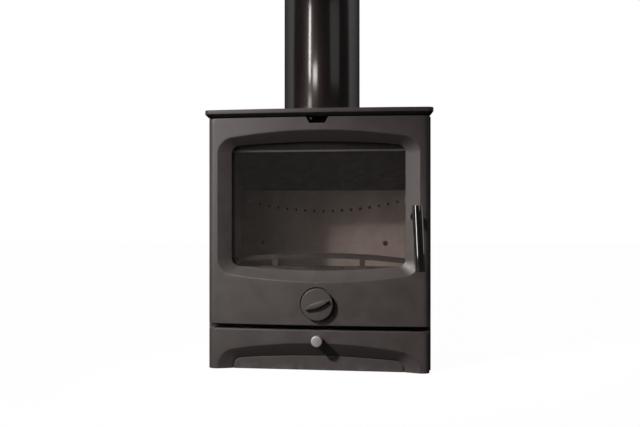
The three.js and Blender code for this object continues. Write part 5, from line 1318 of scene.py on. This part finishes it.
def head_place(node, facing):
    """Seat of a screw's head: its box's outer side less the head's height."""
    low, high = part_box(node)
    middle = (low + high) / 2
    axis = Vector(facing)
    far = sum(max(a * lo, a * hi) for a, lo, hi in zip(axis, low, high))
    return middle + axis * (far - middle.dot(axis) - HEAD_HEIGHT)


UP, BACK, FRONT = (0, 0, 1), (0, 1, 0), (0, -1, 0)
BODY_SCREWS = [(f"spigot_screw_{i}", UP) for i in (1, 2, 3)]
BODY_SCREWS += [(f"outlet_cover_screw_{i}", BACK) for i in (1, 2, 3)]
LINER_SCREWS = [("left_liner_screw", FRONT), ("right_liner_screw", FRONT)]
STUDS = [(f"shield_stud_{i}", BACK) for i in (1, 2, 3, 4)]
DOOR_SCREWS = [
    (f"{a}_{b}_clip_screw", BACK) for a in ("upper", "lower") for b in ("left", "right")]
print("screws:", len(BODY_SCREWS + LINER_SCREWS), len(STUDS), len(DOOR_SCREWS))

# %% The screw tree
screw_tree, gin, gout = new_tree("set screws", [("Screw", "NodeSocketObject", None)])
info = add_node(screw_tree, "GeometryNodeObjectInfo", Object=gin.outputs["Screw"])
facing = add_node(
    screw_tree, "GeometryNodeInputNamedAttribute", {"data_type": "FLOAT_VECTOR"}, Name="facing")
turn = add_node(
    screw_tree, "FunctionNodeAlignRotationToVector", {"axis": "Z"}, Vector=facing.outputs[0])
points = add_node(screw_tree, "GeometryNodeMeshToPoints", Mesh=gin.outputs["Geometry"])
placed = add_node(
    screw_tree, "GeometryNodeInstanceOnPoints", Points=points.outputs[0],
    Instance=info.outputs["Geometry"], Rotation=turn.outputs[0])
finish_tree(screw_tree, gout, placed.outputs[0], steel)


def set_screws(name, places, body, head, finish=steel):
    spots = bpy.data.meshes.new("places")
    spots.from_pydata([head_place(node, way) for node, way in places], [], [])
    ways = spots.attributes.new("facing", "FLOAT_VECTOR", "POINT")
    ways.data.foreach_set("vector", [c for _, way in places for c in way])
    model = bpy.data.objects.new("one screw", head)
    mesh = run_tree(screw_tree, spots, Screw=model)
    bpy.data.objects.remove(model)
    return finish_piece(
        name, mesh, body, finish, [node for node, _ in places])


STUD_R, STUD_START, STUD_END = 5 * MM, -13.5 * MM, -2.1 * MM
body_screws = set_screws("body_screws", BODY_SCREWS, "stove_body", screw_mesh(9 * MM))
liner_screws = set_screws(
    "liner_screws", LINER_SCREWS, "stove_body", screw_mesh(9 * MM), burnt)
shoulder = turned([(STUD_R, STUD_START), (STUD_R, STUD_END)], (0, 0, 0), "z", HEAD_SIDES)
studs = set_screws(
    "shield_studs", STUDS, "stove_body", carve(screw_mesh(16 * MM), [shoulder], "UNION"))
clip_screws = set_screws("clip_screws", DOOR_SCREWS, "door", screw_mesh(10 * MM))
print("faces:", [len(p.data.polygons) for p in (body_screws, liner_screws, studs, clip_screws)])

# %% [markdown]
# ## Rope seals, with Geometry Nodes
# A stove's door is sealed with a rope of woven glass yarn laid in its groove. Three thick
# strands wind round each other along the loop. The tree moves each strand off the loop's
# centre by an angle that grows along the way, then sweeps a round profile along it. The
# flat seal under the glass is the same rope, pressed thin.

# %% The rope tree
def vector_node(tree, operation, *values, **inputs):
    made = add_node(tree, "ShaderNodeVectorMath", {"operation": operation}, *values, **inputs)
    return made.outputs[0]


rope_tree, gin, gout = new_tree("wound rope", [
    ("Turns", "NodeSocketInt", 60), ("Strand Radius", "NodeSocketFloat", 0.0022),
    ("Wind Radius", "NodeSocketFloat", 0.0018), ("Phase", "NodeSocketFloat", 0.0),
    ("Steps Per Turn", "NodeSocketInt", 10)])
curve = add_node(rope_tree, "GeometryNodeMeshToCurve", Mesh=gin.outputs["Geometry"])
count = math_node(rope_tree, "MULTIPLY", gin.outputs["Turns"], gin.outputs["Steps Per Turn"])
even = add_node(rope_tree, "GeometryNodeResampleCurve", Curve=curve.outputs[0], Count=count)
where = add_node(rope_tree, "GeometryNodeSplineParameter")
per_step = math_node(rope_tree, "DIVIDE", 2 * math.pi, gin.outputs["Steps Per Turn"])
angle = math_node(rope_tree, "MULTIPLY", where.outputs["Index"], per_step)
phased = math_node(rope_tree, "ADD", angle, gin.outputs["Phase"])
cosine = math_node(rope_tree, "COSINE", phased)
sine = math_node(rope_tree, "SINE", phased)
tangent = add_node(rope_tree, "GeometryNodeInputTangent")
across = vector_node(rope_tree, "CROSS_PRODUCT", tangent.outputs[0], (0, 1, 0))
sideways = vector_node(rope_tree, "SCALE", across, Scale=cosine)
deep = add_node(rope_tree, "ShaderNodeCombineXYZ", Y=sine)
both = vector_node(rope_tree, "ADD", sideways, deep.outputs[0])
offset = vector_node(rope_tree, "SCALE", both, Scale=gin.outputs["Wind Radius"])
wound = add_node(
    rope_tree, "GeometryNodeSetPosition", Geometry=even.outputs[0], Offset=offset)
strand = add_node(
    rope_tree, "GeometryNodeCurvePrimitiveCircle", Resolution=8,
    Radius=gin.outputs["Strand Radius"])
swept = add_node(
    rope_tree, "GeometryNodeCurveToMesh", Curve=wound.outputs[0],
    Profile_Curve=strand.outputs[0])
finish_tree(rope_tree, gout, swept.outputs[0], rope)

# %% Lay the ropes
STRANDS, SHORTEST = 3, 0.4 * MM
ROPE_SHARP = math.radians(80)


def lay_rope(name, node, line, press, turns, strand_r, wind_r):
    """Strands wound round a closed line, pressed in depth to fit the groove."""
    low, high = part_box(node)
    middle_y = (low.y + high.y) / 2
    loop = bpy.data.meshes.new("loop")
    count = len(line)
    loop.from_pydata(
        [(x, 0, z) for x, z in line], [(i, (i + 1) % count) for i in range(count)], [])
    bm = bmesh.new()
    for k in range(STRANDS):
        bm.from_mesh(run_tree(
            rope_tree, loop.copy(), Turns=turns, Strand_Radius=strand_r, Wind_Radius=wind_r,
            Phase=2 * math.pi * k / STRANDS))
    for v in bm.verts:
        v.co.y = v.co.y * press + middle_y
    bmesh.ops.recalc_face_normals(bm, faces=bm.faces)
    return finish_piece(name, mesh_of(bm), "door", rope, [node], ROPE_SHARP)


def clean_line(line):
    """The line without its doubled points."""
    kept = []
    for p in line:
        if not kept or (Vector(p) - Vector(kept[-1])).length > SHORTEST:
            kept.append(p)
    return kept


seal_low, seal_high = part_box("glass_seal")
HALF_SEAL, SEAL_CORNER = 3 * MM, 4 * MM
seal_line = opening(
    seal_high.x - HALF_SEAL, seal_high.z - HALF_SEAL, 0, seal_low.z + HALF_SEAL, 0, SEAL_CORNER)
door_rope = lay_rope(
    "door_rope_wound", "door_rope_seal", clean_line(back_line(**GROOVE)), press=0.95,
    turns=110, strand_r=2.1 * MM, wind_r=1.85 * MM)
pane_rope = lay_rope(
    "pane_rope_wound", "glass_seal", clean_line(seal_line), press=0.325,
    turns=150, strand_r=1.6 * MM, wind_r=1.4 * MM)
print("rope faces:", len(door_rope.data.polygons), len(pane_rope.data.polygons))

# %% [markdown]
# ## Studio
# The stove stands on white, in front of a lit white backdrop, and the room before it is
# nearly dark. So the world is white to the camera and to rays that only pass the glass. A
# mirrored ray finds the backdrop, bright towards its sides and dark straight behind, which
# draws the soft bands down both sides of the pipe. A soft ray finds the same grey light
# all over the back, which shows the stove's rear. The floor looks white and takes the soft
# shadow, but sends little light up under the plate.

# %% Floor
FLOOR_HALF = 6
FLOOR_WHITE, FLOOR_TO_OTHER_RAYS, FLOOR_GLOW, GLOW_STRENGTH = 0.9, 0.05, 0.94, 1.04
floor_mesh = bpy.data.meshes.new("floor")
floor_mesh.from_pydata(
    [(-FLOOR_HALF, -FLOOR_HALF, 0), (FLOOR_HALF, -FLOOR_HALF, 0),
     (FLOOR_HALF, FLOOR_HALF, 0), (-FLOOR_HALF, FLOOR_HALF, 0)], [], [(0, 1, 2, 3)])
link("floor", floor_mesh)
white, tree, shader, place = finish_start("studio floor", (FLOOR_WHITE,) * 3, 0.9)
rays = tree.nodes.new("ShaderNodeLightPath")
to_camera = rays.outputs["Is Camera Ray"]
set_inputs(shader, Base_Color=mix_colour(
    tree, to_camera, (FLOOR_TO_OTHER_RAYS,) * 3, (FLOOR_WHITE,) * 3))
glow = tree.nodes.new("ShaderNodeEmission")
set_inputs(glow, Strength=GLOW_STRENGTH)
mix_shaders(
    tree, math_node(tree, "MULTIPLY", to_camera, FLOOR_GLOW), shader.outputs[0],
    glow.outputs[0])
floor_mesh.materials.append(white)
print("floor:", white.name)

# %% World
BACKDROP_LIGHT, WALL_BEHIND, REAR_LIGHT, ROOM_LIGHT = 0.26, 0.02, 0.5, 0.012
HORIZON, WALL_START, WALL_MIDDLE, REAR_FULL = 0.07, 0.05, 1.0, 0.5
world = bpy.data.worlds.new("studio")
world.use_nodes = True
bpy.context.scene.world = world
tree = world.node_tree
rays = tree.nodes.new("ShaderNodeLightPath").outputs
bounces = math_node(tree, "SUBTRACT", rays["Ray Depth"], rays["Transmission Depth"])
straight = math_node(tree, "LESS_THAN", bounces, 0.5)
through = math_node(tree, "MULTIPLY", rays["Is Transmission Ray"], straight)
seen = math_node(tree, "MAXIMUM", rays["Is Camera Ray"], through)
glossy = rays["Is Glossy Ray"]
matt = math_node(tree, "SUBTRACT", 1.0, glossy)
backward = axes_of(tree, tree.nodes.new("ShaderNodeTexCoord").outputs["Generated"])["Y"]
wall = remap(tree, backward, WALL_START, WALL_MIDDLE, BACKDROP_LIGHT, WALL_BEHIND)
behind = remap(tree, backward, 0.0, HORIZON)
mirrored = math_node(tree, "MULTIPLY", math_node(tree, "MULTIPLY", wall, behind), glossy)
rear = remap(tree, backward, WALL_START, REAR_FULL, ROOM_LIGHT, REAR_LIGHT)
around = math_node(tree, "MAXIMUM", mirrored, math_node(tree, "MULTIPLY", rear, matt))
around = math_node(tree, "MAXIMUM", around, ROOM_LIGHT)
set_inputs(
    tree.nodes["Background"], Color=(1, 1, 1, 1),
    Strength=math_node(tree, "MAXIMUM", seen, around))
print("backdrop, rear and room:", BACKDROP_LIGHT, REAR_LIGHT, ROOM_LIGHT)


# %% [markdown]
# ### Lamps
# A tall narrow softbox stands at the left front, a metre away. Its mirror image is the
# bright line down the pipe, and being so close it lights the left of the door more than the
# right. It ends above the top plate, and a weaker box stands below it, or it would shine up
# under the plate. A small box in front draws the line down the handle bar. A distant soft
# spot from the upper left brightens the middle of the door, lets its edges fall away and
# casts the knob's shadow, and a faint broad fill comes from the right.

# %% Lamps
WARM, NEUTRAL = (1, 0.965, 0.94), (1, 1, 1)


def add_lamp(name, kind, place, target, power, colour=WARM, **settings):
    """A lamp at `place` that shines at `target`."""
    data = bpy.data.lights.new(name, kind)
    data.energy, data.color = power, colour
    for key, value in settings.items():
        setattr(data, key, value)
    lamp = link(name, data)
    lamp.location = place
    way = Vector(target) - Vector(place)
    lamp.rotation_euler = way.to_track_quat("-Z", "Y").to_euler()


for name, place, target, (width, height), power, colour in (
        ("strip", (-0.656, -0.953, 0.86), (0, 0, 0.65), (0.1, 0.56), 1.4, WARM),
        ("strip foot", (-0.656, -0.953, 0.26), (0, -0.15, 0.35), (0.2, 0.4), 0.6, WARM),
        ("front", (-0.42, -1.3, 0.62), (0, -0.15, 0.3), (0.3, 0.16), 0.7, WARM),
        ("fill", (1.6, -1.8, 1.1), (0, 0, 0.3), (1.2, 1.2), 0.8, NEUTRAL)):
    add_lamp(
        name, "AREA", place, target, power, colour, shape="RECTANGLE", size=width,
        size_y=height)
add_lamp(
    "spot", "SPOT", (-1.28, -1.72, 1.42), (0.02, -0.15, 0.12), 165, shadow_soft_size=0.07,
    spot_size=math.radians(23), spot_blend=1.0)
